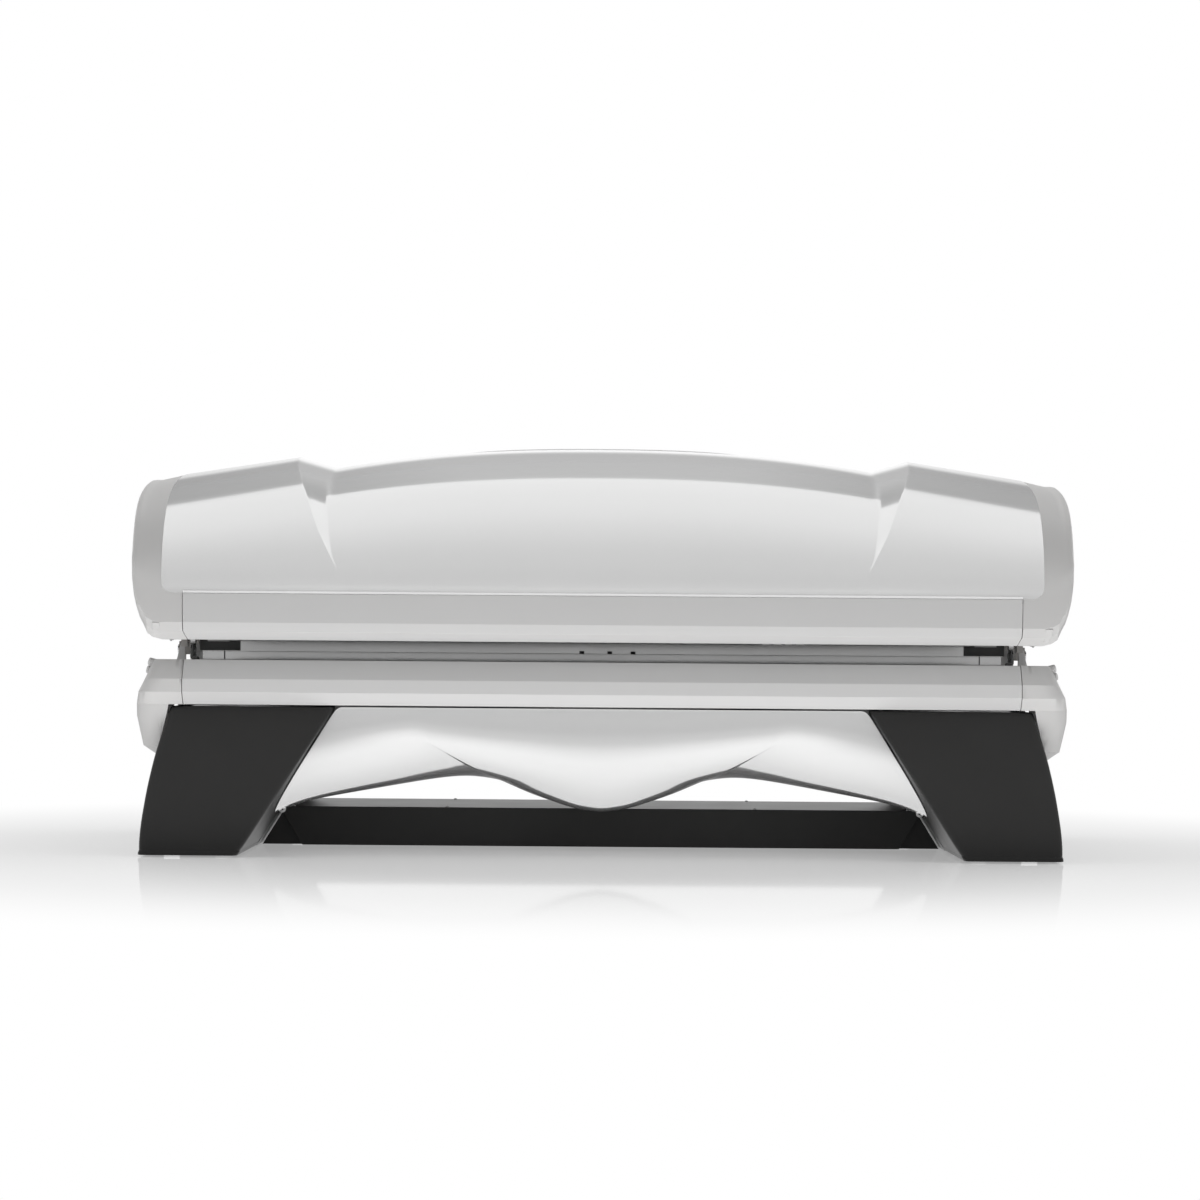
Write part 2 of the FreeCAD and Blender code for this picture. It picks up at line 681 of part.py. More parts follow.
def lower_front_panel():
    half = [apron_section(x, depth, height) for x, depth, height in APRON_EDGE]
    solid = Part.makeLoft(half, True, True)
    solid = solid.fuse(mirrored_in_x(solid)).removeSplitter()
    lean = (LEG_INNER[1][0] - LEG_INNER[0][0]) / (LEG_INNER[1][1] - LEG_INNER[0][1])
    room = 3
    low_x = LEG_INNER[0][0] - room - 4 * lean
    clear = [(low_x, 0), (low_x + 400 * lean, 400), (1200, 400), (1200, 0)]
    leg_room = prism_along_y(clear, -620, 0)
    return solid.cut(leg_room).cut(mirrored_in_x(leg_room))


keep(feature(lower_front_panel()), "lower_front_panel")
eyes = [cut(rod((sign * 742, -285, 98), (0, -1, 0), 9, 4),
            rod((sign * 742, -280, 98), (0, -1, 0), 3.5, 12)) for side, sign in BOTH_SIDES]
keep(grouped(eyes), "panel_eyes")
clips = [block((x - 6, 455, REAR_RIM), (x + 6, 467, REAR_RIM + 7)) for x in (-52, 20, 80)]
keep(grouped(clips), "acrylic_clips")

# --- fans --------------------------------------------------------------------------------


def fan_frame(x, y, low):
    """A square fan frame with a bore, three spokes and a bearing boss."""
    half, high = size("fan_size") / 2, low + size("fan_height")
    frame = cut(block((x - half, y - half, low), (x + half, y + half, high)),
                rod((x, y, low - 1), (0, 0, 1), "@fan_bore", "@fan_height + 2"))
    spokes = [block((x - size("fan_bore") - 1, y - 3, low), (x - 18, y + 3, low + 6)),
              block((x + 18, y - 3, low), (x + size("fan_bore") + 1, y + 3, low + 6)),
              block((x - 3, y + 18, low), (x + 3, y + size("fan_bore") + 1, low + 6))]
    boss = rod((x, y, low), (0, 0, 1), "@fan_hub", 6)
    return cut(fused([frame, boss] + spokes),
               rod((x, y, low - 1), (0, 0, 1), "3 + @running_gap", 10))


def fan_rotor(x, y, low):
    """A hub with seven pitched blades and a shaft."""
    blades = []
    for index in range(7):
        blade = Part.makeBox(size("fan_rotor") - 16, 16, 2, Vector(16, -8, -1))
        blade.rotate(Vector(), Vector(1, 0, 0), 32)
        blade.rotate(Vector(), Vector(0, 0, 1), index * 360 / 7)
        blade.translate(Vector(x, y, low + 20))
        blades.append(blade)
    hub = Part.makeCylinder(size("fan_hub"), 24, Vector(x, y, low + 8))
    shaft = Part.makeCylinder(3, 9, Vector(x, y, low - 0.5))
    return feature(hub.multiFuse(blades + [shaft]))


BASE_FAN_LOW = RAIL_TOP - size("fan_height") - 0.5
base_fans = [fan_frame(sign * 250, 40, BASE_FAN_LOW) for side, sign in BOTH_SIDES]
keep(grouped(base_fans), "base_fan_frames")
for side, sign in BOTH_SIDES:
    keep(fan_rotor(sign * 250, 40, BASE_FAN_LOW), "base_fan_rotor_%s" % side)
CANOPY_FAN = (105, 45, 872)
keep(fan_frame(*CANOPY_FAN), "canopy_fan_frame")
keep(fan_rotor(*CANOPY_FAN), "canopy_fan_rotor")

# --- hinge and gas struts ------------------------------------------------------------------

HINGE_Y, HINGE_Z = size("hinge_back"), size("hinge_height")
POST_OUTLINE = [(470, 295), (530, 295), (520, 470), (512, 490), (488, 490), (480, 470)]
ARM_OUTLINE = [(484, 456), (512, 456), (518, 480), (482, 512), (470, 620), (436, 620),
               (414, 505), (416, 476), (446, 476), (470, 500)]
posts, pins, arms, brackets = [], [], [], []
for side, sign in BOTH_SIDES:
    start, end = sorted((sign * 1076, sign * 1090))
    post = feature(prism_along_x(POST_OUTLINE, start, end))
    posts.append(cut(post, rod((sign * 1070, HINGE_Y, HINGE_Z), (sign, 0, 0),
                               "@pin_radius", 30)))
    pins.append(fused([rod((sign * 1056, HINGE_Y, HINGE_Z), (sign, 0, 0),
                           "@pin_radius", 37),
                       rod((sign * 1090, HINGE_Y, HINGE_Z), (sign, 0, 0), 12, 4)]))
    start, end = sorted((sign * 1060, sign * 1075.5))
    arm = feature(prism_along_x(ARM_OUTLINE, start, end))
    bar_x = sorted((sign * 985, sign * 1060))
    bar = block((bar_x[0], 440, 590), (bar_x[1], 470, 618))
    stud = rod((sign * 1036, size("strut_back"), size("strut_high")), (sign, 0, 0),
               "@stud_radius", 25)
    head = rod((sign * 1032, size("strut_back"), size("strut_high")), (sign, 0, 0), 8.5, 4)
    arms.append(cut(fused([arm, bar, stud, head]),
                    rod((sign * 1056, HINGE_Y, HINGE_Z), (sign, 0, 0),
                        "@pin_radius + @running_gap", 21)))
    start, end = sorted((sign * 1058, sign * 1062))
    plate = block((start, 415, 236), (end, ARM_Y[0], END_TUBE_TOP))
    low_stud = rod((sign * 1036, size("strut_back"), size("strut_low")), (sign, 0, 0),
                   "@stud_radius", 23)
    brackets.append(fused([plate, low_stud]))
keep(grouped(posts), "hinge_posts")
keep(grouped(pins), "hinge_pins")
keep(grouped(arms), "hinge_arms")
keep(grouped(brackets), "strut_brackets")


def along_strut(sign, items):
    """Lean pieces drawn upright at the strut's foot into the strut's line."""
    lean = Placement(Vector(sign * size("strut_reach"), size("strut_back"), size("strut_low")),
                     Rotation(Vector(1, 0, 0), size("strut_lean")))
    for item in items:
        item.Placement = lean.multiply(item.Placement)
    return items


for side, sign in BOTH_SIDES:
    eye, barrel, eye_hole, barrel_bore, neck_bore = along_strut(sign, [
        rod((-6, 0, 0), (1, 0, 0), 9, 12), rod((0, 0, 5), (0, 0, 1), 9, 145),
        rod((-10, 0, 0), (1, 0, 0), "@stud_radius + @running_gap", 20),
        rod((0, 0, 20), (0, 0, 1), 7, 124), rod((0, 0, 140), (0, 0, 1), "4.05", 20)])
    bores = fused([eye_hole, barrel_bore, neck_bore])
    keep(cut(fused([eye, barrel]), bores), "strut_cylinder_%s" % side)
    top = size("strut_length")
    bar, piston, socket, socket_hole = along_strut(sign, [
        rod((0, 0, 60), (0, 0, 1), 4, top - 66), rod((0, 0, 60), (0, 0, 1), 6.9, 12),
        rod((-6, 0, top), (1, 0, 0), 11, 12),
        rod((-10, 0, top), (1, 0, 0), "@stud_radius + @stud_room", 20)])
    keep(cut(fused([bar, piston, socket]), socket_hole), "strut_rod_%s" % side)

# --- canopy ------------------------------------------------------------------------------


def canopy_front_panel():
    """The glossy front panel with rounded lower corners."""
    return canopy_skin(0, FRONT_POINTS, 0, size("skin"))


def canopy_rear_shell():
    shell = canopy_skin(FRONT_POINTS - 1, len(CANOPY_OUTLINE), 0, 3)
    x, y, low = CANOPY_FAN
    return shell.cut(Part.makeCylinder(size("fan_bore"), 200, Vector(x, y, low)))


keep(feature(canopy_front_panel()), "canopy_front_panel")
keep(feature(canopy_rear_shell()), "canopy_rear_shell")


VENT_REACH = 325
VENT_RISE = 7
VENT_PLATE = 6.8


def top_vent():
    """A thin grille plate over the exhaust, a little above the rear shell."""
    stations = [VENT_REACH * share for share in (-1, -0.67, -0.33, 0, 0.33, 0.67, 1)]
    wires = [skin_section(x, FRONT_POINTS - 1, FRONT_POINTS + 2, VENT_RISE, VENT_PLATE)
             for x in stations]
    plate = Part.makeLoft(wires, True, False)
    for index in range(9):
        slot = Part.makeBox(10, 100, 200, Vector(CANOPY_FAN[0] - 54 + index * 12, -5, 860))
        plate = plate.cut(slot)
    return plate


keep(feature(top_vent()), "top_vent")

CANOPY_FRONT_TRIM = [(-497, 592), (-500, 590), (-503, 528), (-492, 507), (-470, 489),
                     (-436, 489), (-431, 494)]
control_hole = block((348, -466, 480), (532, -440, 500))
trim_strip = padded_sketch(polygon_edges(folded_strip(CANOPY_FRONT_TRIM, 3)), "YZ_Plane",
                           "2 * @trim_end")
keep(cut(trim_strip, control_hole), "canopy_front_trim")
CANOPY_REAR_TRIM = [(431, 497), (436, 492), (470, 492), (490, 505), (499, 556)]
REAR_SKIRT = [(484, 501.1), (490, 505), (492, 463), (488, 463)]
rear_trim_strip = padded_sketch(polygon_edges(folded_strip(CANOPY_REAR_TRIM, 3)), "YZ_Plane",
                                "2 * @trim_end")
rear_skirt = feature(prism_along_x(REAR_SKIRT, -RIM_END, RIM_END))
keep(grouped([rear_trim_strip, rear_skirt]), "canopy_rear_trim")

arch_angle = math.asin(size("arch_half") / ARCH_RADIUS)
ARCH_AXIS = (0, ARCH_AXIS_Z)
keep(padded_sketch(ring_sector(ARCH_AXIS, ARCH_RADIUS, ARCH_RADIUS + size("acrylic"),
                               math.pi / 2 - arch_angle, math.pi / 2 + arch_angle),
                   "YZ_Plane", "2 * @trim_end - 4"), "canopy_acrylic")
UPPER_ROOM = 10
upper_lamp_arc = ARCH_RADIUS + size("acrylic") + UPPER_ROOM + size("lamp_radius")
lamp_row("upper", ARCH_AXIS, upper_lamp_arc, size("upper_lamp_count"), False)
upper_mirror_radius = upper_lamp_arc + size("lamp_radius") + 5
half_turn = math.radians(60)
keep(padded_sketch(ring_sector(ARCH_AXIS, upper_mirror_radius, upper_mirror_radius + 1.5,
                               math.pi / 2 - half_turn, math.pi / 2 + half_turn),
                   "YZ_Plane", 1870), "upper_reflector")

arch_turn = math.radians(57.5)
end_arches = []
for side, sign in BOTH_SIDES:
    centre = sign * (END_TUBE_X[0] + END_TUBE_X[1]) / 2
    end_arches.append(padded_sketch(
        ring_sector(ARCH_AXIS, 544, 560, math.pi / 2 - arch_turn, math.pi / 2 + arch_turn),
        "YZ_Plane", END_TUBE_X[1] - END_TUBE_X[0], offset=centre))
canopy_rails = [square_tube((-985, -345, 762), (985, -315, 792), 0, 2),
                square_tube((-985, 318, 738), (985, 346, 764), 0, 2)]
keep(welded(canopy_rails, end_arches), "canopy_frame")

CANOPY_END = size("canopy_end")
CANOPY_SHOULDER = 1085
# reach, how much the outline shrinks, how far the front lower corner has risen
CANOPY_CAP_RINGS = [(950, 0, 0), (size("cap_parting"), 0, 0), (1038, 0, 5), (1062, 0, 14),
                    (1078, 0, 33), (1095, 1, 51), (1107, 2, 70), (1116, 4, 88),
                    (1124, 8, 120), (CANOPY_END, 18, 150)]
CAP_CENTRE_Z = (size("wing_end_height") + size("canopy_lip")) / 2


def plan_taper(y):
    """How much of the cap's length is there at one depth: less towards the front."""
    return 0.545 + 0.00034 * (y + 450)


def cap_ring(x, shrink, lift, inset):
    """The canopy's outline at the end cap, closed below, shrunk towards its middle."""
    upper = canopy_outline(min(max(x, size("cap_parting")), CANOPY_SHOULDER))
    points = ([(-470, 489), (-492, 507), (-503, 528)] + upper
              + [(499, 556), (490, 505), (470, 492)])
    half_height = CAP_CENTRE_Z - size("canopy_lip")
    across = (500 - shrink - inset) / 500
    moved = []
    for y, z in points:
        rise = lift if y < 0 and z < CAP_CENTRE_Z else 0
        upwards = (half_height - max(shrink, rise) - inset) / half_height
        depth = y * across
        reach = x
        if x > size("cap_parting"):
            reach = size("cap_parting") + (x - size("cap_parting")) * plan_taper(depth)
        moved.append(Vector(reach, depth, CAP_CENTRE_Z + (z - CAP_CENTRE_Z) * upwards))
    foot = Part.makePolygon(moved[-3:] + moved[:3])
    upper_edge = curve_through(moved[2:-3])
    last = Part.makeLine(moved[-4], moved[-3])
    return Part.Wire([upper_edge, last] + foot.Edges)


def arch_room(radius):
    """The tunnel's round space through the end cap."""
    return Part.makeCylinder(radius, 400, Vector(900, 0, ARCH_AXIS_Z), Vector(1, 0, 0))


def canopy_end_cap():
    """A bulging shell with the tunnel's arch through it, open towards the panels."""
    wall = size("skin")
    outside = Part.makeLoft([cap_ring(x, o, r, 0) for x, o, r in CANOPY_CAP_RINGS],
                            True, True)
    inner_rings = [(CANOPY_CAP_RINGS[0][0] - 20, 0, 0)] + [
        (x - (1.7 * wall if x > 1070 else 0), o, r) for x, o, r in CANOPY_CAP_RINGS[1:]]
    inside = Part.makeLoft([cap_ring(x, o, r, wall) for x, o, r in inner_rings], True, True)
    inside = inside.cut(arch_room(ARCH_RADIUS + wall - 1))
    shell = outside.cut(arch_room(ARCH_RADIUS - 1)).cut(inside)
    for low, high in (((930, -600, 592), (1000, 0, 1000)), ((930, 0, 557), (1000, 600, 1000)),
                      ((1010, 405, 450), (1102, 565, 512)), ((1030, 405, 500), (1078, 440, 530))):
        shell = shell.cut(box_between(low, high))
    return with_liner(shell, arch_room(ARCH_RADIUS + wall - 1))


CANOPY_CAP = canopy_end_cap()
for side, sign in BOTH_SIDES:
    keep(feature(CANOPY_CAP if sign > 0 else mirrored_in_x(CANOPY_CAP)),
         "canopy_end_cap_%s" % side)
canopy_plugs = [rod((sign * 1075.5, -350, 680), (sign, -0.0442, 0), 14, 6)
                for side, sign in BOTH_SIDES]
keep(grouped(canopy_plugs), "canopy_side_plugs")

# --- control panel -------------------------------------------------------------------------

BUTTON_ROWS = (372, 398, 424, 450)
bezel = block((348.5, -465.5, 489), (531.5, -440.5, 493))
lens_hole = block((470, -460, 480), (520, -446, 500))
button_holes = [block((x - 8.4, -458.4, 480), (x + 8.4, -447.6, 500)) for x in BUTTON_ROWS]
keep(cut(bezel, fused([lens_hole] + button_holes)), "control_bezel")
keep(block((470, -460, 489.6), (520, -446, 492.6)), "display_lens")
for number, x in enumerate(BUTTON_ROWS, start=1):
    keep(block((x - 8, -458, 487), (x + 8, -448, 493.5)), "button_%d" % number)

# --- checks and export ---------------------------------------------------------------------

doc.recompute()
for item in doc.Objects:
    if "Invalid" in item.State or "Error" in item.State:
        raise RuntimeError("%s (%s) did not build: %s" % (item.Name, item.Label, item.State))
os.makedirs("parts", exist_ok=True)
for item in sub_parts:
    if item.Shape.isNull() or not item.Shape.isValid():
        raise RuntimeError("the shape of %s is not valid" % item.Label)
    item.Shape.exportStep("parts/%s.step" % item.Label)
whole = FreeCAD.BoundBox()
for item in sub_parts:
    whole.add(item.Shape.BoundBox)
print("%d sub-parts, box %s" % (len(sub_parts), whole))
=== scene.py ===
"""The looks of a clamshell tanning bed: shells, trims, covers, finishes, studio and camera.

Shapes are written in millimetres, +X along the bed, the front facing -Y, +Z up, and
turned into metres when a piece is made.
"""

import json
import math

import bmesh
import bpy
import numpy as np
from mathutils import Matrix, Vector


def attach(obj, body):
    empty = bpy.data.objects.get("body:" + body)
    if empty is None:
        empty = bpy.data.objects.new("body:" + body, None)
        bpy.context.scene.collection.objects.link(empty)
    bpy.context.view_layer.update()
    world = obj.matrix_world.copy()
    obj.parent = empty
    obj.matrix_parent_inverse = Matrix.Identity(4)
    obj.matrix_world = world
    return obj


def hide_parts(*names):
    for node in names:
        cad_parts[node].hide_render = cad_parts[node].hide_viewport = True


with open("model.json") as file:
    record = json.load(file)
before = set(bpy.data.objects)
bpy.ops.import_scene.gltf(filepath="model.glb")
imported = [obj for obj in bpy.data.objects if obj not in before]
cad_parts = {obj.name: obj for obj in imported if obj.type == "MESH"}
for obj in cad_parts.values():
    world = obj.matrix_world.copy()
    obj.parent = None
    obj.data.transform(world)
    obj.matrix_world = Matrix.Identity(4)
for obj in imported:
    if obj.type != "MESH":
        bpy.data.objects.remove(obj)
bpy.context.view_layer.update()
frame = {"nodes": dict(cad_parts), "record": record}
scene = bpy.context.scene

MM = 0.001
SIDES = (("left", -1), ("right", 1))

# --- driving sizes, the same as the frame's ---

CREST, VALLEY, WING, WING_END = 955, 906, 932, 889
VALLEY_REACH, RIDGE_REACH, FOLD_FOOT = 640, 729, 604
PARTING, TRIM_END, CANOPY_END = 1000, 950, 1130
PANEL_FOOT, BASE_LIP = 595, 444
ARCH_RADIUS, ARCH_AXIS_Z = 476.4, 292.6
TROUGH_RADIUS, TROUGH_Y, TROUGH_Z = 1027, -5, 1371
LEG_TOP, LEG_FOOT, LEG_BACK = 338, 4, 150
SEAM = 1.2
WHITE = (1, 1, 1, 1)


# --- making meshes ---

def piece(name, points, faces):
    """A mesh object from points in millimetres."""
    mesh = bpy.data.meshes.new(name)
    mesh.from_pydata([Vector(point) * MM for point in points], [], faces)
    mesh.update()
    obj = bpy.data.objects.new(name, mesh)
    scene.collection.objects.link(obj)
    return obj


def grid_faces(rows, columns, start=0):
    """Quads of a grid whose points are numbered row by row."""
    return [(start + i * columns + j, start + i * columns + j + 1,
             start + (i + 1) * columns + j + 1, start + (i + 1) * columns + j)
            for i in range(rows - 1) for j in range(columns - 1)]


def sheet_through(name, rows):
    """A surface through rows of points."""
    points = [point for row in rows for point in row]
    return piece(name, points, grid_faces(len(rows), len(rows[0])))


def reworked(obj, work):
    """Run one bmesh job on a mesh."""
    shape = bmesh.new()
    shape.from_mesh(obj.data)
    work(shape)
    shape.to_mesh(obj.data)
    shape.free()
    return obj


def closed_up(obj, distance=0.02):
    """Join points that coincide and turn the faces outwards."""
    def work(shape):
        bmesh.ops.remove_doubles(shape, verts=shape.verts, dist=distance * MM)
        bmesh.ops.recalc_face_normals(shape, faces=shape.faces)
    return reworked(obj, work)


def facing(obj, centre, away=True):
    """Turn a sheet's faces away from a point, or towards it."""
    middle = Vector(centre) * MM
    lean = sum(face.normal.dot(face.center - middle) * face.area for face in obj.data.polygons)
    if (lean < 0) == away:
        obj.data.flip_normals()
    return obj


def solid_between(name, first, second):
    """A closed piece between two outlines that have the same number of points."""
    count = len(first)
    faces = [tuple(range(count)), tuple(range(2 * count - 1, count - 1, -1))]
    faces += [(i, (i + 1) % count, count + (i + 1) % count, count + i) for i in range(count)]
    return closed_up(piece(name, first + second, faces))


def prism(name, outline, start, end, axis="x"):
    """A closed outline drawn out along one axis."""
    order = {"x": (2, 0, 1), "y": (0, 2, 1), "z": (0, 1, 2)}[axis]
    ends = [[[(u, v, w)[k] for k in order] for u, v in outline] for w in (start, end)]
    return solid_between(name, *ends)


def ordered(corner, opposite):
    """The lowest and the highest corner of the box between two corners."""
    return zip(*map(sorted, zip(corner, opposite)))


def block(name, corner, opposite):
    """A box between two corners, to be carved or softened."""
    low, high = ordered(corner, opposite)
    outline = [(low[0], low[1]), (high[0], low[1]), (high[0], high[1]), (low[0], high[1])]
    return prism(name, outline, low[2], high[2], "z")


def walled(obj, wall):
    """Give a sheet its thickness, inwards."""
    skin = obj.modifiers.new("wall", "SOLIDIFY")
    skin.thickness = wall * MM
    skin.offset = -1
    skin.use_even_offset = True
    return obj


def softened(obj, width, angle=30, segments=2):
    """Round every edge that turns by more than the angle, and keep flat faces flat."""
    edge = obj.modifiers.new("edges", "BEVEL")
    edge.width = width * MM
    edge.segments = segments
    edge.limit_method = "ANGLE"
    edge.angle_limit = math.radians(angle)
    evening = obj.modifiers.new("normals", "WEIGHTED_NORMAL")
    evening.keep_sharp = True
    return obj


def smoothed(obj, levels):
    """Round a coarse mesh by subdivision."""
    soft = obj.modifiers.new("smooth", "SUBSURF")
    soft.levels = soft.render_levels = levels
    soft.boundary_smooth = "PRESERVE_CORNERS"
    return obj


def rounded_shell(obj, wall, width, angle, levels):
    """A smooth sheet given its thickness and rounded rims."""
    softened(walled(obj, wall), width, angle)
    obj.modifiers.remove(obj.modifiers["normals"])
    return smoothed(obj, levels)


def settled(obj):
    """The mesh with its modifiers applied."""
    depsgraph = bpy.context.evaluated_depsgraph_get()
    mesh = bpy.data.meshes.new_from_object(obj.evaluated_get(depsgraph))
    obj.modifiers.clear()
    obj.data = mesh
    return obj


def carved(obj, cutters):
    """Cut closed cutters out of a closed mesh; the cutters are used up."""
    for cutter in cutters:
        cut = obj.modifiers.new("cut", "BOOLEAN")
        cut.operation = "DIFFERENCE"
        cut.solver = "EXACT"
        cut.object = cutter
    settled(obj)
    for cutter in cutters:
        bpy.data.objects.remove(cutter)
    return obj


def joined(name, parts):
    """One object out of several meshes."""
    shape = bmesh.new()
    for part in parts:
        shape.from_mesh(part.data)
        bpy.data.objects.remove(part)
    mesh = bpy.data.meshes.new(name)
    shape.to_mesh(mesh)
    shape.free()
    obj = bpy.data.objects.new(name, mesh)
    scene.collection.objects.link(obj)
    return obj


def turned(name, profile, place, axis, count=32):
    """A turned part: (radius, height) pairs spun about an axis through a place."""
    up = Vector(axis).normalized()
    side = up.orthogonal().normalized()
    across = up.cross(side)
    points, faces = [], []
    for radius, height in profile:
        for step in range(count):
            turn = 2 * math.pi * step / count
            out = side * math.cos(turn) + across * math.sin(turn)
            points.append(Vector(place) + out * max(radius, 0.01) + up * height)
    for i in range(len(profile) - 1):
        for step in range(count):
            ahead = (step + 1) % count
            faces.append((i * count + step, i * count + ahead,
                          (i + 1) * count + ahead, (i + 1) * count + step))
    return closed_up(piece(name, points, faces), 0.05)


# --- curves and outlines ---

def curve_through(points, shares):
    """A smooth curve through points, sampled at shares of each span."""
    values = np.array(points, float)
    spans = [math.dist(a, b) for a, b in zip(points, points[1:])]
    count = len(points)
    system = np.eye(count)
    pull = np.zeros_like(values)
    for i in range(1, count - 1):
        before, after = spans[i - 1], spans[i]
        system[i, i - 1:i + 2] = before, 2 * (before + after), after
        pull[i] = 6 * ((values[i + 1] - values[i]) / after - (values[i] - values[i - 1]) / before)
    bend = np.linalg.solve(system, pull)
    samples = []
    for i, span in enumerate(spans):
        for share in shares[i]:
            done, left = share * span, (1 - share) * span
            samples.append(tuple(
                bend[i] * left ** 3 / (6 * span) + bend[i + 1] * done ** 3 / (6 * span)
                + (values[i] / span - bend[i] * span / 6) * left
                + (values[i + 1] / span - bend[i + 1] * span / 6) * done))
    return samples


def between(table, key):
    """A value read from a table of (key, value) pairs with straight runs between them."""
    if key <= table[0][0]:
        return table[0][1]
    for (a, low), (b, high) in zip(table, table[1:]):
        if key <= b:
            return low + (high - low) * (key - a) / (b - a)
    return table[-1][1]


def shifted_path(path, thickness):
    """The path moved to its left by the thickness, with mitred corners."""
    moved = []
    for index, (u, v) in enumerate(path):
        normals = []
        for a, b in ((index - 1, index), (index, index + 1)):
            if 0 <= a and b < len(path):
                du, dv = path[b][0] - path[a][0], path[b][1] - path[a][1]
                run = math.hypot(du, dv)
                normals.append((-dv / run, du / run))
        nu = sum(n[0] for n in normals) / len(normals)
        nv = sum(n[1] for n in normals) / len(normals)
        stretch = thickness / (nu * nu + nv * nv)
        moved.append((u + nu * stretch, v + nv * stretch))
    return moved


def folded_strip(path, thickness):
    return path + shifted_path(path, thickness)[::-1]


# --- finishes: shared effects ---

def node_in(tree, kind, inputs=None, **settings):
    """A shader node with its settings; an input takes a value or another node's output."""
    node = tree.nodes.new("ShaderNode" + kind)
    for label, value in settings.items():
        setattr(node, label, value)
    for label, value in (inputs or {}).items():
        if isinstance(value, bpy.types.NodeSocket):
            tree.links.new(value, node.inputs[label])
        else:
            node.inputs[label].default_value = value
    return node


def math_in(tree, operation, *values):
    """The result of one step of arithmetic."""
    return node_in(tree, "Math", dict(enumerate(values)), operation=operation).outputs["Value"]


def mapped(tree, value, span=(0.0, 1.0), to=(0.0, 1.0), kind="LINEAR"):
    """A value moved from one span to another and held at its ends."""
    inputs = {"Value": value, "From Min": span[0], "From Max": span[1], "To Min": to[0],
              "To Max": to[1]}
    return node_in(tree, "MapRange", inputs, interpolation_type=kind).outputs["Result"]


def mixed(tree, share, first, second):
    """Two colours blended by a share."""
    inputs = {"Factor": share, "A": first, "B": second}
    return node_in(tree, "Mix", inputs, data_type="RGBA").outputs["Result"]


def toned(tree, value, stops):
    """Greys read off a ramp of (place, level) stops."""
    node = node_in(tree, "ValToRGB", {"Fac": value})
    elements = node.color_ramp.elements
    elements[0].position, elements[1].position = stops[0][0], stops[-1][0]
    for place, _ in stops[1:-1]:
        elements.new(place)
    for element, (_, level) in zip(elements, stops):
        element.color = (level, level, level, 1)
    return node.outputs["Color"]


def noise_at(tree, scale, detail, stretch=(1, 1, 1)):
    """Noise over the object's own coordinates."""
    where = node_in(tree, "TexCoord").outputs["Object"]
    spread = node_in(tree, "Mapping", {"Vector": where, "Scale": stretch}).outputs["Vector"]
    inputs = {"Vector": spread, "Scale": scale, "Detail": detail}
    return node_in(tree, "TexNoise", inputs).outputs["Fac"]


SOCKETS = {"VALUE": "NodeSocketFloat", "RGBA": "NodeSocketColor", "VECTOR": "NodeSocketVector"}


def effect(work, **inputs):
    """A node group made once, with named inputs and the outputs that its work gives."""
    group = bpy.data.node_groups.new(work.__name__, "ShaderNodeTree")
    for label, value in inputs.items():
        kind = SOCKETS["RGBA" if isinstance(value, tuple) else "VALUE"]
        made = group.interface.new_socket(label, in_out="INPUT", socket_type=kind)
        made.default_value = value
    results = work(group, group.nodes.new("NodeGroupInput").outputs)
    for label, result in results.items():
        group.interface.new_socket(label, in_out="OUTPUT", socket_type=SOCKETS[result.type])
    end = group.nodes.new("NodeGroupOutput")
    for label, result in results.items():
        group.links.new(result, end.inputs[label])
    return group


def shade_variation(group, given):
    """Slow drifts of colour and gloss, as on any painted or moulded face."""
    noise = noise_at(group, given["Scale"], 4.0)
    return {"Colour": mixed(group, noise, given["Dark"], given["Light"]),
            "Roughness": mapped(group, noise, to=(given["Dull"], given["Gloss"]))}


def surface_grain(group, given):
    """The fine grain of moulded plastic or sprayed paint."""
    noise = noise_at(group, given["Scale"], 3.0)
    bump = node_in(group, "Bump", {"Height": noise, "Distance": given["Height"]})
    return {"Normal": bump.outputs["Normal"]}


def rolled_lines(group, given):
    """Fine lines along the bed, left by rolling or brushing a metal sheet."""
    noise = noise_at(group, given["Scale"], 2.0, (0.02, 1, 1))
    return {"Roughness": mapped(group, noise, to=(given["Gloss"], given["Dull"])),
            "Mask": noise}


def settled_dust(group, given):
    """A thin veil of dust on faces that look upwards."""
    normal = node_in(group, "NewGeometry").outputs["Normal"]
    rise = node_in(group, "SeparateXYZ", {"Vector": normal}).outputs["Z"]
    patchy = math_in(group, "MULTIPLY", mapped(group, rise, (0.5, 1.0)),
                    noise_at(group, given["Scale"], 5.0))
    share = math_in(group, "MULTIPLY", patchy, given["Amount"])
    return {"Colour": mixed(group, share, given["Colour"], given["Dust"])}


GREY = (0.5, 0.5, 0.5, 1)
VARIATION = effect(shade_variation, Light=GREY, Dark=GREY, Scale=6.0, Gloss=0.3, Dull=0.4)
GRAIN = effect(surface_grain, Scale=400.0, Height=0.0001)
LINES = effect(rolled_lines, Scale=300.0, Gloss=0.2, Dull=0.4)
DUST = effect(settled_dust, Colour=GREY, Dust=(0.6, 0.58, 0.55, 1), Amount=0.1, Scale=30.0)


# --- finishes: one material for each slot ---

def shade(grey, warmth=0.0):
    """A grey with a little warmth, as a colour."""
    return (grey * (1 + warmth), grey, grey * (1 - warmth), 1)


def shader_of(material):
    return material.node_tree.nodes["Principled BSDF"]


def plain(name, **sockets):
    """A material whose constant values sit on the shader itself."""
    material = bpy.data.materials.new(name)
    material.use_nodes = True
    for label, value in sockets.items():
        shader_of(material).inputs[label.replace("_", " ")].default_value = value
    return material


def with_effect(material, group, values, feeds):
    """Place a shared effect in a material and link what it feeds on the shader."""
    node = node_in(material.node_tree, "Group", values, node_tree=group)
    for output, socket in feeds.items():
        material.node_tree.links.new(node.outputs[output], shader_of(material).inputs[socket])
    return node.outputs


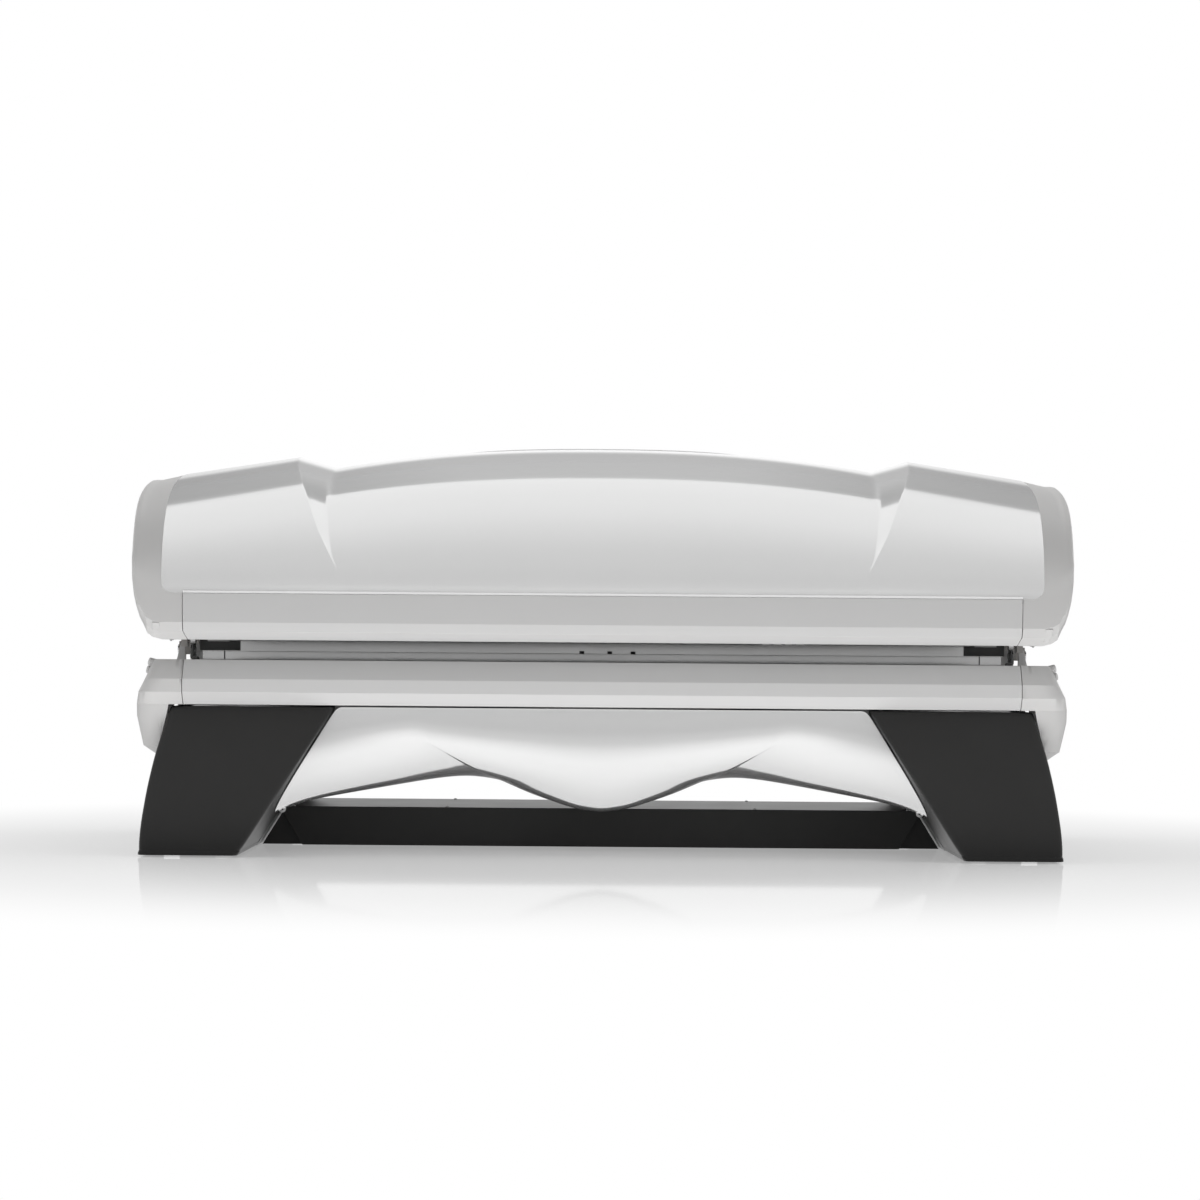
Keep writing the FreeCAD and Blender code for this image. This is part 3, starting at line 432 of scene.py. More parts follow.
def sprayed(name, light, dark, gloss, dull, scale, grain, height, dust, **sockets):
    """Paint or moulded plastic: drifting shade and gloss over a fine grain."""
    material = plain(name, **sockets)
    tone = with_effect(material, VARIATION, {"Light": shade(*light), "Dark": shade(*dark),
                                             "Scale": scale, "Gloss": gloss, "Dull": dull},
                       {"Colour": "Base Color", "Roughness": "Roughness"})
    with_effect(material, GRAIN, {"Scale": grain, "Height": height}, {"Normal": "Normal"})
    if dust:
        with_effect(material, DUST, {"Amount": dust, "Colour": tone["Colour"]},
                    {"Colour": "Base Color"})
    return material


def sheet_metal(name, light, dark, gloss, dull):
    """Bare or plated metal with rolling lines along the bed."""
    material = plain(name, Metallic=1.0)
    lines = with_effect(material, LINES, {"Gloss": gloss, "Dull": dull},
                        {"Roughness": "Roughness"})
    tone = mixed(material.node_tree, lines["Mask"], shade(dark), shade(light))
    material.node_tree.links.new(tone, shader_of(material).inputs["Base Color"])
    return material


def pearl_flakes(material):
    """Fine flakes that glitter under the clear coat."""
    tree = material.node_tree
    where = node_in(tree, "TexCoord").outputs["Object"]
    flakes = node_in(tree, "TexVoronoi", {"Vector": where, "Scale": 2200.0})
    spread = mapped(tree, flakes.outputs["Distance"], to=(0.50, 0.60))
    tree.links.new(spread, shader_of(material).inputs["Metallic"])


# light and dark (grey, warmth); roughness where glossy and where dull; scale of the drift;
# scale and height of the grain; dust; then what is the same all over
SPRAYED = {
    "pearl_white": ((0.90,), (0.87,), 0.10, 0.13, 3, 35, 0.00002, 0.02,
                    dict(Metallic=0.55, Coat_Weight=0.6, Coat_Roughness=0.03)),
    "cap_grey": ((0.60, 0.008), (0.575, 0.010), 0.34, 0.42, 4, 1100, 0.00003, 0.02,
                 dict(Specular_IOR_Level=0.35)),
    "trim_grey": ((0.60, 0.004), (0.58, 0.004), 0.27, 0.32, 4, 700, 0.00001, 0.04,
                  dict(Coat_Weight=0.3, Coat_Roughness=0.1)),
    "shell_grey": ((0.60,), (0.57,), 0.36, 0.46, 5, 1000, 0.00003, 0.10, {}),
    "leg_anthracite": ((0.030, 0.01), (0.025, 0.01), 0.36, 0.46, 8, 1300, 0.00006, 0.03,
                       dict(Specular_IOR_Level=0.15)),
    "box_dark": ((0.055, 0.01), (0.045, 0.01), 0.28, 0.34, 9, 800, 0.000005, 0,
                 dict(Specular_IOR_Level=0.12)),
    "frame_steel": ((0.12,), (0.10,), 0.38, 0.5, 14, 900, 0.00008, 0.06, {}),
    "hinge_beige": ((0.46, 0.04), (0.42, 0.04), 0.34, 0.44, 20, 900, 0.00004, 0.03, {}),
    "rubber_black": ((0.030,), (0.022,), 0.62, 0.78, 40, 700, 0.0001, 0.12, {}),
    "ballast_metal": ((0.36,), (0.30,), 0.34, 0.5, 25, 500, 0.00005, 0.05,
                      dict(Metallic=0.6)),
    "control_plastic": ((0.11,), (0.09,), 0.36, 0.46, 30, 1300, 0.00005, 0.03, {}),
    "acrylic_clear": ((0.95, -0.02), (0.93, -0.02), 0.02, 0.08, 12, 60, 0.00001, 0,
                      dict(Transmission_Weight=0.92, IOR=1.49)),
    "lamp_glass": ((0.86, -0.02), (0.80, -0.02), 0.06, 0.12, 40, 200, 0.000005, 0,
                   dict(Transmission_Weight=0.15, IOR=1.5)),
    "lampholder_white": ((0.80, 0.01), (0.75, 0.02), 0.4, 0.5, 30, 900, 0.00004, 0.04, {}),
    "fan_black": ((0.035,), (0.028,), 0.38, 0.5, 30, 900, 0.00004, 0.10, {}),
    "strut_black": ((0.025,), (0.02,), 0.14, 0.22, 30, 600, 0.00001, 0.03,
                    dict(Coat_Weight=0.5, Coat_Roughness=0.06)),
    "lens_dark": ((0.035, -0.2), (0.03, -0.2), 0.05, 0.09, 30, 100, 0.000005, 0,
                  dict(Coat_Weight=1.0, Coat_Roughness=0.02)),
    "button_grey": ((0.36,), (0.33,), 0.42, 0.52, 60, 1400, 0.00005, 0, {}),
}
# light and dark grey, roughness along a line and beside it
METALS = {"tub_sheet": (0.62, 0.50, 0.28, 0.45), "lamp_cap_metal": (0.78, 0.66, 0.22, 0.36),
          "reflector_bright": (0.88, 0.80, 0.10, 0.22), "pin_chrome": (0.80, 0.74, 0.06, 0.14)}

FINISHES = {name: sprayed(name, *values, **sockets)
            for name, (*values, sockets) in SPRAYED.items()}
FINISHES.update((name, sheet_metal(name, *values)) for name, values in METALS.items())
pearl_flakes(FINISHES["pearl_white"])


def dress(obj, body, slot, *nodes):
    """Give a piece its finish, the body it moves with and the nodes that it stands for."""
    obj.data.materials.clear()
    obj.data.materials.append(FINISHES[slot])
    obj.data.polygons.foreach_set("use_smooth", [True] * len(obj.data.polygons))
    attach(obj, body)
    if nodes:
        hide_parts(*nodes)
    return obj


def finish_frame_nodes():
    """The frame's own nodes get the finish of their slot."""
    for entry in frame["record"]["subparts"]:
        for place in frame["nodes"][entry["node"]].material_slots:
            place.material = FINISHES[entry["material_slot"]]


# --- canopy panel and back ---

# the canopy's outer outline over its middle, from the front foot over the crest
CANOPY_OUTLINE = [(-500, 595), (-499, 660), (-479, 745), (-432, 825), (-362, 880),
                  (-270, 915), (-160, 940), (-40, 955), (90, 948), (220, 916),
                  (340, 858), (430, 770), (480, 670), (500, 562)]
FRONT_SPANS = 7
FOOT_SHARES = (0, 0.04, 0.1, 0.19, 0.33, 0.55, 0.78)
EVEN_SHARES = (0, 0.25, 0.5, 0.75)
LAST_SHARES = (0, 0.25, 0.5, 0.75, 0.92, 0.992)
OPEN_SHARES = (0.008, 0.08, 0.25, 0.5, 0.75)
REAR_SHARES = (0, 0.34, 0.67)
CORNER = 24
CROWN = 2.4
FRONT_RIDGE = [(595, 607), (660, 608), (745, 649), (825, 678), (880, 698), (915, 713),
               (940, 723), (CREST, RIDGE_REACH)]


def outline_rows(shares):
    return curve_through(CANOPY_OUTLINE, shares)


FRONT_ROWS = outline_rows([FOOT_SHARES] + [EVEN_SHARES] * 5 + [LAST_SHARES] + [()] * 6)
BACK_ROWS = outline_rows([()] * 7 + [OPEN_SHARES] + [REAR_SHARES] * 4 + [(0, 0.34, 0.67, 1)])
WHOLE_ROWS = outline_rows([EVEN_SHARES] * 12 + [(0, 0.25, 0.5, 0.75, 1)])


def fold_at(y, z):
    """How far out the valley and the ridge of the fold lie on one row of the outline."""
    if y >= CANOPY_OUTLINE[FRONT_SPANS][0]:
        return VALLEY_REACH, RIDGE_REACH
    share = (z - PANEL_FOOT) / (CREST - PANEL_FOOT)
    ridge = between(FRONT_RIDGE, z)
    return min(FOLD_FOOT + (VALLEY_REACH - FOLD_FOOT) * share, ridge - 8), ridge


def crest_at(x, fold):
    """The crest's height at one station for a row with this fold."""
    reach, (valley, ridge) = abs(x), fold
    middle = CREST - (CREST - VALLEY) * (min(reach, valley) / VALLEY_REACH) ** CROWN
    if reach <= valley:
        return middle
    fall = (WING - WING_END) / (PARTING - RIDGE_REACH)
    if reach >= ridge:
        return WING - fall * (reach - RIDGE_REACH)
    share = (reach - valley) / (ridge - valley)
    return middle * (1 - share) + (WING - fall * (ridge - RIDGE_REACH)) * share


def on_canopy(x, y, z, proud=0.0):
    """A point of the canopy's skin, standing proud of it by a little."""
    rise = max(z - PANEL_FOOT, -40)
    height = PANEL_FOOT + rise * (crest_at(x, fold_at(y, z)) - PANEL_FOOT) / (CREST - PANEL_FOOT)
    lift = math.atan2(z - 620, abs(y) + 1)
    return (x, y + math.copysign(proud * math.cos(lift), y), height + proud * math.sin(lift))


MIDDLE_SHARES = (0, 0.12, 0.24, 0.36, 0.48, 0.6, 0.72, 0.83, 0.92, 0.975)
SLOPE_SHARES = (0, 0.15, 0.4, 0.7)
WING_SHARES = (0.05, 0.13, 0.25, 0.4, 0.55, 0.7, 0.85, 0.95)
CREASE = 5


def panel_reaches(y, z, end):
    """Stations of one row on one side, following the valley and the ridge."""
    valley, ridge = fold_at(y, z)
    crease = min(CREASE, (ridge - valley) / 4)
    reaches = [valley * share for share in MIDDLE_SHARES]
    reaches += [valley + (ridge - valley) * share for share in SLOPE_SHARES]
    reaches += [ridge - crease / 3, ridge, ridge + crease]
    start = ridge + crease
    reaches += [start + (end - start) * share for share in WING_SHARES]
    return reaches + [end - 3, end]


def skin_row(y, z, proud, corner):
    end = PARTING - SEAM / 2
    if corner:
        rise = min((z - PANEL_FOOT) * (WING_END - PANEL_FOOT) / (CREST - PANEL_FOOT), CORNER)
        end -= CORNER - math.sqrt(max(CORNER ** 2 - (CORNER - rise) ** 2, 0.0))
    reaches = panel_reaches(y, z, end)
    stations = [-x for x in reversed(reaches[1:])] + reaches
    return [on_canopy(x, y, z, proud) for x in stations]


def canopy_panel():
    """The glossy front panel: arched middle, proud wings, rounded lower corners."""
    rows = [skin_row(y, z, 1.2, True) for y, z in FRONT_ROWS]
    panel = facing(sheet_through("canopy_panel", rows), (0, 0, 600))
    rounded_shell(panel, 4, 1.0, 55, 2)
    return dress(panel, "canopy", "pearl_white", "canopy_front_panel")


VENT_REACH = 325
FAN_PLACE, FAN_BORE = (105, 45), 56


def canopy_back():
    """The rear shell, open under the exhaust fan's grille."""
    rows = [skin_row(y, z, 0.6, False) for y, z in BACK_ROWS]
    shell = facing(sheet_through("canopy_back", rows), (0, 0, 600))
    settled(smoothed(walled(shell, 3), 1))
    bore = turned("bore", [(0, 0), (FAN_BORE, 0), (FAN_BORE, 200), (0, 200)],
                  (*FAN_PLACE, 850), (0, 0, 1), 48)
    carved(shell, [bore])
    softened(shell, 0.8, 50)
    return dress(shell, "canopy", "shell_grey", "canopy_rear_shell")


def vent_plate():
    """The low exhaust cover on the crest: a shallow dome, slotted over the fan."""
    stations = [VENT_REACH * share for share in (-1, -0.985, -0.93, -0.8, -0.6, -0.4, -0.2, 0,
                                                 0.2, 0.4, 0.6, 0.8, 0.93, 0.985, 1)]
    depths = (0.01, 0.08, 0.25, 0.45, 0.65, 0.85, 0.97)
    front, rear = -38, 205
    rows = []
    for depth in depths:
        y = front + (rear - front) * depth
        row = []
        for x in stations:
            swell = math.sin(math.pi * depth) ** 0.4
            edge = 1 - (abs(x) / VENT_REACH) ** 8
            row.append((x, y, crest_line(y, x) + 1.0 + 6.0 * swell * edge))
        rows.append(row)
    plate = facing(sheet_through("vent_plate", rows), (0, 80, 500))
    settled(smoothed(walled(plate, 4), 1))
    slots = [block("slot", (FAN_PLACE[0] - 54 + index * 12, -5, 860),
                   (FAN_PLACE[0] - 47 + index * 12, 95, 1000)) for index in range(9)]
    carved(plate, slots)
    softened(plate, 0.7, 40)
    return dress(plate, "canopy", "shell_grey", "top_vent")


def crest_line(y, x):
    """The height of the canopy's skin near the crest."""
    return on_canopy(x, y, between(WHOLE_ROWS, y), 0.6)[2]


# --- end caps of the canopy ---

SHOULDER_X, FACE_DEPTH, FALL_END = 1112, 18, 1085
CAP_CENTRE_Z, CAP_HALF = 689, 200
# how far the front lower corner of the cap has risen at each station
RISES = [(1000, 0), (1038, 5), (1062, 14), (1078, 33), (1095, 51), (1107, 70), (1116, 88),
         (1124, 120), (1130, 150)]
CAP_STATIONS = (PARTING, 1012, 1025, 1038, 1050, 1062, 1070, 1078, 1086, 1095, 1102, 1107)
FRONT_FACETS = [(-438.5, 489), (-452, 489), (-470, 489), (-481, 498), (-492, 507),
                (-497.5, 517.5), (-503, 528), (-502.5, 545), (-501.5, 570)]
REAR_FACETS = [(499.3, 559), (499, 556), (494.5, 530), (490, 505), (470, 492), (452, 492),
               (438.5, 492)]
SHOULDER_SHARES = (0.01, 0.03, 0.06, 0.1, 0.14, 0.19, 0.3, 0.5, 0.75, 0.985, 1.0)
LIP_LEAN = 24.2


def cap_outline():
    """The cap's outline where it meets the panels, from front lip to rear lip."""
    upper = [on_canopy(PARTING, y, z)[1:] for y, z in WHOLE_ROWS]
    return FRONT_FACETS + upper[:-1] + REAR_FACETS


def fallen(x, z):
    """The wing's fall carried on over the cap, out to its shoulder."""
    slope = (WING - WING_END) / (PARTING - RIDGE_REACH)
    share = max(z - PANEL_FOOT, 0) / (WING_END - PANEL_FOOT)
    return slope * (min(max(x, PARTING), FALL_END) - PARTING) * share


def arch_partner(y, z):
    """The point of the tunnel's arch that faces an outline point."""
    lean = math.degrees(math.atan2(z - ARCH_AXIS_Z, abs(y)))
    if z < 600:
        lean = LIP_LEAN + between([(0, 0), (4, 0.5), (30, 2.2), (70, 4), (140, 7.5)],
                                  math.dist((abs(y), z), (438.5, 490)))
    lean = math.radians(lean)
    return math.copysign(ARCH_RADIUS * math.cos(lean), y), ARCH_AXIS_Z + ARCH_RADIUS * math.sin(lean)


def shoulder_x(depth):
    """How far out the rounded shoulder is at this distance in from the outline."""
    left = 1 - min(depth / FACE_DEPTH, 1.0)
    return SHOULDER_X + (CANOPY_END - SHOULDER_X) * math.sqrt(1 - left * left)


def raised(x, y, z):
    """A point of the outline or of the arch, lifted as the front lower corner rises."""
    if y >= 0 or z >= CAP_CENTRE_Z:
        return y, z
    height = CAP_CENTRE_Z + (z - CAP_CENTRE_Z) * (1 - between(RISES, x) / CAP_HALF)
    low, high = [math.sqrt(ARCH_RADIUS ** 2 - (level - ARCH_AXIS_Z) ** 2) for level in (z, height)]
    inwards = min(max((abs(y) - low) / 31.5, 0.0), 1.0)
    return y + (low - high) * (1 - inwards), height


def tapered(x, y):
    """The cap reaches less far out towards the front."""
    return x if x <= PARTING else PARTING + (x - PARTING) * (0.545 + 0.00034 * (y + 450))


def cap_section(y, z, sign):
    """One line over the cap: parting, shoulder, side face, arch edge, lining."""
    start = TRIM_END + SEAM if z < PANEL_FOOT + 45 else PARTING - 12
    if y < 0:
        start -= facet_cut(z)
    inner = arch_partner(y, z)
    length = math.dist((y, z), inner)
    line = [(x, *raised(x, y, z - fallen(x, z))) for x in (start, start + 2) + CAP_STATIONS]
    z -= fallen(FALL_END, z)
    for share in SHOULDER_SHARES:
        x = shoulder_x(length * share)
        outer, far = raised(x, y, z), raised(x, *inner)
        line.append((x, *[a + (b - a) * share for a, b in zip(outer, far)]))
    edge_x = line[-1][0]
    line += [(x, *raised(x, *inner)) for x in (edge_x - 2.5, 1107, 1095, 1078, 1062, 1030,
                                               PARTING, TRIM_END + 4)]
    return [(sign * tapered(x, py), py, pz) for x, py, pz in line]


def notched(obj, corner, opposite):
    """Open a sheet where it passes through a box."""
    low, high = ordered(corner, opposite)

    def work(shape):
        for axis in range(3):
            for corner in (low, high):
                place, way = [0, 0, 0], [0, 0, 0]
                place[axis], way[axis] = corner[axis] * MM, 1
                everything = shape.verts[:] + shape.edges[:] + shape.faces[:]
                bmesh.ops.bisect_plane(shape, geom=everything, plane_co=place, plane_no=way,
                                       dist=1e-6)
        inside = [face for face in shape.faces
                  if all(low[axis] * MM < face.calc_center_median()[axis] < high[axis] * MM
                         for axis in range(3))]
        bmesh.ops.delete(shape, geom=inside, context="FACES")
    return reworked(obj, work)


def canopy_end_cap(side, sign):
    """A bulging cap with the tunnel's arch through it and a lining behind the arch."""
    rows = [cap_section(y, z, sign) for y, z in cap_outline()]
    cap = closed_up(sheet_through("canopy_cap_" + side, rows), 0.1)
    crown = max(cap.data.polygons, key=lambda face: face.center.z - abs(face.center.x) * 0.01)
    if crown.normal.z < 0:
        cap.data.flip_normals()
    notched(cap, (sign * 1010, 405, 450), (sign * 1102, 565, 512))
    notched(cap, (sign * 1030, 405, 500), (sign * 1078, 440, 530))
    walled(cap, 2).modifiers["wall"].use_even_offset = False
    softened(cap, 1.2, 17)
    return dress(cap, "canopy", "cap_grey", "canopy_end_cap_" + side)


def side_plugs(name, body, node, place, lean, radius, height):
    """Round covers over the end screws, domed with a stepped rim."""
    plugs = [turned("plug", [(0, -3), (radius, -3), (radius, height * 0.45),
                             (radius - 1.2, height * 0.7), (radius * 0.72, height * 0.8),
                             (radius * 0.66, height * 0.95), (radius * 0.35, height),
                             (0, height)],
                    (sign * place[0], *place[1:]), (sign, -lean, 0)) for _, sign in SIDES]
    return dress(softened(joined(name, plugs), 0.4, 25), body, "cap_grey", node)


def latch_tabs():
    """Moulded release tabs on the slanting lower facet of each canopy cap."""
    outline = [(1000, 499), (1003, 527), (1019, 527), (1017, 508), (1011, 499)]
    facet = [(489, -470), (507, -492), (528, -503)]
    tabs = []
    for _, sign in SIDES:
        ends = [[(sign * x, between(facet, z) - proud * 0.87, z - proud * 0.5)
                 for x, z in outline] for proud in (-2.0, 1.6)]
        tabs.append(solid_between("tab", *ends))
    return dress(softened(joined("latch_tabs", tabs), 0.7, 25), "canopy", "cap_grey")


# --- trims ---

def facet_cut(z):
    """How much shorter the canopy's trim gets down its slanting lower facet."""
    return 8 * max(507 - z, 0) / 18


def strip_along(name, path, thickness, reach=TRIM_END):
    return prism(name, folded_strip(path, thickness), -reach, reach)


def canopy_trims():
    """The three-facet strip under the front panel, the bead over it, and the rear strip."""
    path = [(-496, 594.2), (-504.4, 594.2), (-502.2, 528), (-492, 507), (-470, 489),
            (-436, 489), (-431, 494)]
    trim = strip_along("canopy_trim", path, 3)
    for vertex in trim.data.vertices:
        vertex.co.x -= math.copysign(facet_cut(vertex.co.z / MM) * MM, vertex.co.x)
    carved(trim, [block("hole", (348, -466, 480), (532, -440, 500))])
    softened(trim, 1.3, 15, 3)
    dress(trim, "canopy", "trim_grey", "canopy_front_trim")
    bead = prism("panel_bead", [(-498.6, 594.3), (-504.6, 594.3), (-504.8, 595.0),
                                (-503.0, 598.0), (-501.2, 600.0), (-498.6, 601.2)],
                 -TRIM_END, TRIM_END)
    dress(softened(bead, 0.3, 35), "canopy", "pearl_white")
    rear = strip_along("canopy_rear_strip", [(431, 497), (436, 492), (470, 492), (490, 505),
                                             (499, 556)], 3)
    skirt = prism("canopy_rear_skirt", [(484, 501.1), (490, 505), (492, 463), (488, 463)],
                  -SKIRT_END, SKIRT_END)
    dress(softened(rear, 1.3, 15, 3), "canopy", "trim_grey", "canopy_rear_trim")
    dress(softened(skirt, 0.8, 25), "canopy", "trim_grey", "canopy_rear_trim")


BASE_TRIM_PATH = [(-448, BASE_LIP), (-470, BASE_LIP), (-500, 400), (-500, 370), (-475, 342),
                  (-456, 342)]
REAR_RIM, RIM_END, SKIRT_END = 465, 1030, 1056
REAR_COVER_PATH = [(456, 342), (475, 342), (500, 370), (500, 440), (480, REAR_RIM),
                   (450, REAR_RIM), (448, 440)]


def base_trims():
    """The base's front strip and the rear cover with its row of cooling slots."""
    trim = strip_along("base_trim", BASE_TRIM_PATH, 3)
    dress(softened(trim, 1.3, 15, 3), "base", "trim_grey", "base_front_trim")
    cover = strip_along("base_back_cover", REAR_COVER_PATH, 2)
    slots = []
    for middle in (-600, -200, 200, 600):
        for index in range(10):
            x = middle - 72 + index * 16
            slots.append(block("slot", (x - 4, 490, 385), (x + 4, 510, 425)))
    carved(cover, slots)
    dress(softened(cover, 0.9, 15), "base", "trim_grey", "base_rear_cover")
    for side, sign in SIDES:
        bends = [(TRIM_END + 0.4, 449), (RIM_END, 449), (RIM_END, 463), (SKIRT_END + 2, 463)]
        bends += [(SKIRT_END + 2, 465), (RIM_END - 2, 465), (RIM_END - 2, 451),
                  (TRIM_END + 0.4, 451)]
        rim = prism("rim_end_" + side, [(sign * x, y) for x, y in bends], BASE_LIP, REAR_RIM,
                    "z")
        dress(softened(rim, 0.6), "base", "trim_grey", "base_rear_cover")


def gap_fittings():
    """Pale sheets in the gap as painted light, dark strips at the canopy's ends as painted shade,
    rim clips, hinge covers and the struts' black end fittings.
    """
    # pale pearl sheets over the rear cover's inner face and the skirt's front face: painted light,
    # lighter than those parts so that the shaded gap reads brighter
    for name, body, reach, front, rear, low, high in (
            ("rim_painted_light", "base", RIM_END - 6, 446.6, 449.4, BASE_LIP, REAR_RIM),
            ("skirt_painted_light", "canopy", RIM_END, 484.2, 486.6, 465, 500)):
        pale_sheet = block(name, (-reach, front, low), (reach, rear, high))
        dress(softened(pale_sheet, 0.6), body, "pearl_white")
    shade_strips, clips, covers = [], [], []
    for side, sign in SIDES:
        # dark strips just in front of the skirt near its ends: painted shade where the gap lies in
        # shadow
        shade_strips.append(block("shade_strip", (sign * 932, 480.5, 467), (sign * 1036, 484, 503)))
        clips.append(block("clip", (sign * 966.5, 445.2, BASE_LIP),
                           (sign * 969.5, 448.4, REAR_RIM + 1.5)))
        outline = [(sign * 1067, 440), (sign * 1090, 440), (sign * 1078, 489.5),
                   (sign * 1067, 489.5)]
        covers.append(prism("cover", outline, 436, 440, "y"))
        fitting = turned("fitting", [(0, 0), (6, 0), (8.2, 2.5), (8.2, 9), (7.2, 10), (7.2, 13),
                                     (8.2, 14), (8.2, 27), (6.5, 30), (6.5, 36), (0, 36)],
                         (sign * 1046, 428.4, 446), (0, 0.006, 1), 28)
        dress(softened(fitting, 0.4, 25), "strut_bar_" + side, "strut_black")
    # the dark strips at the skirt's ends are painted shade
    dress(softened(joined("painted_shade_strips", shade_strips), 0.6), "canopy", "control_plastic")
    dress(softened(joined("rim_clips", clips), 0.5), "base", "control_plastic")
    dress(softened(joined("hinge_covers", covers), 1.0), "base", "cap_grey")


# --- end caps of the base ---

# level, reach at the rear, reach at the front and depth of the cap's outline
CAP_LEVELS = [(226, 1076, 1019, 430), (247, 1105, 1046, 452), (280, 1111, 1052.5, 461),
              (315, 1117, 1059, 470), (341.8, 1117, 1059, 476), (342, 1117, 1059, 476),
              (370, 1115, 1052, 500), (400, 1102, 1037, 500), (422, 1087.5, 1029.5, 485),
              (BASE_LIP, 1073, 1022, 470)]
LEG_OUTER = [(4, 1041), (75, 1036), (152, 1025), (237, 1008), (324, 984), (338, 981)]
CAP_CORNER = 46
FRONT_LINE = (0, 0.26, 0.52, 0.78, 1.0)
ROUND_STEPS, SIDE_STEPS = 8, 26


def trough_height(y):
    return TROUGH_Z - math.sqrt(TROUGH_RADIUS ** 2 - (y - TROUGH_Y) ** 2)


def level_outline(level, rear_reach, front_reach, depth):
    """One level of the base's cap, from its front end round to its rear end."""
    start = TRIM_END + SEAM if level >= 342 else between(LEG_OUTER, level) + 2.5
    tilt = (rear_reach - front_reach) / (2 * depth)
    sides = []
    for reach, way in ((front_reach, -1), (rear_reach, 1)):
        bend = reach - CAP_CORNER
        points = [(start + (bend - start) * share, way * depth) for share in FRONT_LINE]
        for step in range(1, ROUND_STEPS + 1):
            turn = math.pi / 2 * step / ROUND_STEPS
            inwards = CAP_CORNER * (1 - math.cos(turn))
            points.append((bend + CAP_CORNER * math.sin(turn) - way * tilt * inwards,
                           way * (depth - inwards)))
        sides.append(points)
    (xa, ya), (xb, yb) = sides[0][-1], sides[1][-1]
    run = [(xa + (xb - xa) * step / SIDE_STEPS, ya + (yb - ya) * step / SIDE_STEPS)
           for step in range(1, SIDE_STEPS)]
    return sides[0] + run + sides[1][::-1]


def cap_at(place, height):
    """A point of the cap's wall at any height, between its levels."""
    for low, high in zip(CAP_LEVELS, CAP_LEVELS[1:]):
        if height <= high[0]:
            share = (height - low[0]) / (high[0] - low[0])
            (xa, ya), (xb, yb) = level_outline(*low)[place], level_outline(*high)[place]
            return xa + (xb - xa) * share, ya + (yb - ya) * share
    return level_outline(*CAP_LEVELS[-1])[place]


def wall_line(place):
    """One upright line of the cap's wall, cut off where the trough meets it."""
    top = float(BASE_LIP)
    for _ in range(12):
        top = min(float(BASE_LIP), trough_height(cap_at(place, top)[1]))
    line = []
    for level, *_ in CAP_LEVELS:
        height = min(level, top)
        line.append((*cap_at(place, height), height))
    return line


def base_end_cap(side, sign):
    """A cap that carries on the trims' facets, with a trough on top and a foot outside."""
    count = len(level_outline(*CAP_LEVELS[0]))
    lines = [wall_line(place) for place in range(count)]
    points = [point for line in lines for point in line]
    faces = grid_faces(count, len(CAP_LEVELS))
    first = len(FRONT_LINE) - 1
    top_rows = []
    for place in range(first, count - first):
        x, y, z = lines[place][-1]
        top_rows.append([(TRIM_END + SEAM + (x - TRIM_END - SEAM) * share, y, z)
                         for share in FRONT_LINE])
    faces += grid_faces(len(top_rows), len(FRONT_LINE), len(points))
    points += [point for row in top_rows for point in row]
    faces.append(tuple(place * len(CAP_LEVELS) for place in range(count)))
    points = [(sign * x, y, z) for x, y, z in points]
    cap = closed_up(piece("base_cap_" + side, points, faces), 0.05)
    facing(cap, (sign * 1020, 0, 300))
    settled(walled(cap, 3))
    closed_up(cap, 0.01)
    carved(cap, [block("slot", (sign * 1033, 408, 300), (sign * 1098, 562, 500)),
                 block("slot", (sign * 1033, 405, 232), (sign * 1066, 500, 305))])
    softened(cap, 1.4, 17)
    return dress(cap, "base", "cap_grey", "base_end_cap_" + side)


def lift_lugs():
    """Two-bump lugs on the outer corner of each base cap."""
    lugs = []
    profile = [(0, -14), (9, -14), (9, 2.5), (7.6, 4.4), (4, 5.4), (0, 5.6)]
    for _, sign in SIDES:
        for height, reach in ((438, 1030.5), (420, 1034.5)):
            lugs.append(turned("lug", profile, (sign * reach, -436, height),
                               (sign, -0.25, 0.25), 24))
    return dress(softened(joined("lift_lugs", lugs), 0.5, 25), "base", "cap_grey")


# --- lower front panel ---

# lower edge of the panel: reach, depth from the middle, height
EDGE_DEPTH = [(0, 204), (61, 209), (160, 215), (236, 214), (279, 202), (325, 205), (437, 220),
              (568, 240), (670, 262), (742, 280), (769, 285)]
EDGE_HEIGHT = [(0, 91), (61, 99), (160, 132), (236, 165), (279, 174), (325, 176), (437, 165),
               (568, 143), (670, 125), (742, 107), (769, 89)]
APRON_TOP = (-462, LEG_TOP)
APRON_FULLNESS, WING_SINK, LEG_GAP = 0.1, 15, 4
CREASE_FOOT, CREASE_TOP, CREASE_TOP_Z = 236, 400, 262
INNER_SHARES = (0, 0.14, 0.28, 0.42, 0.57, 0.72, 0.86, 0.96, 0.99, 1.0)
OUTER_SHARES = (0.014, 0.024, 0.05, 0.12, 0.22, 0.34, 0.46, 0.58, 0.7, 0.82, 0.92, 1.0)
DOWN_SHARES = [index / 14 for index in range(15)]


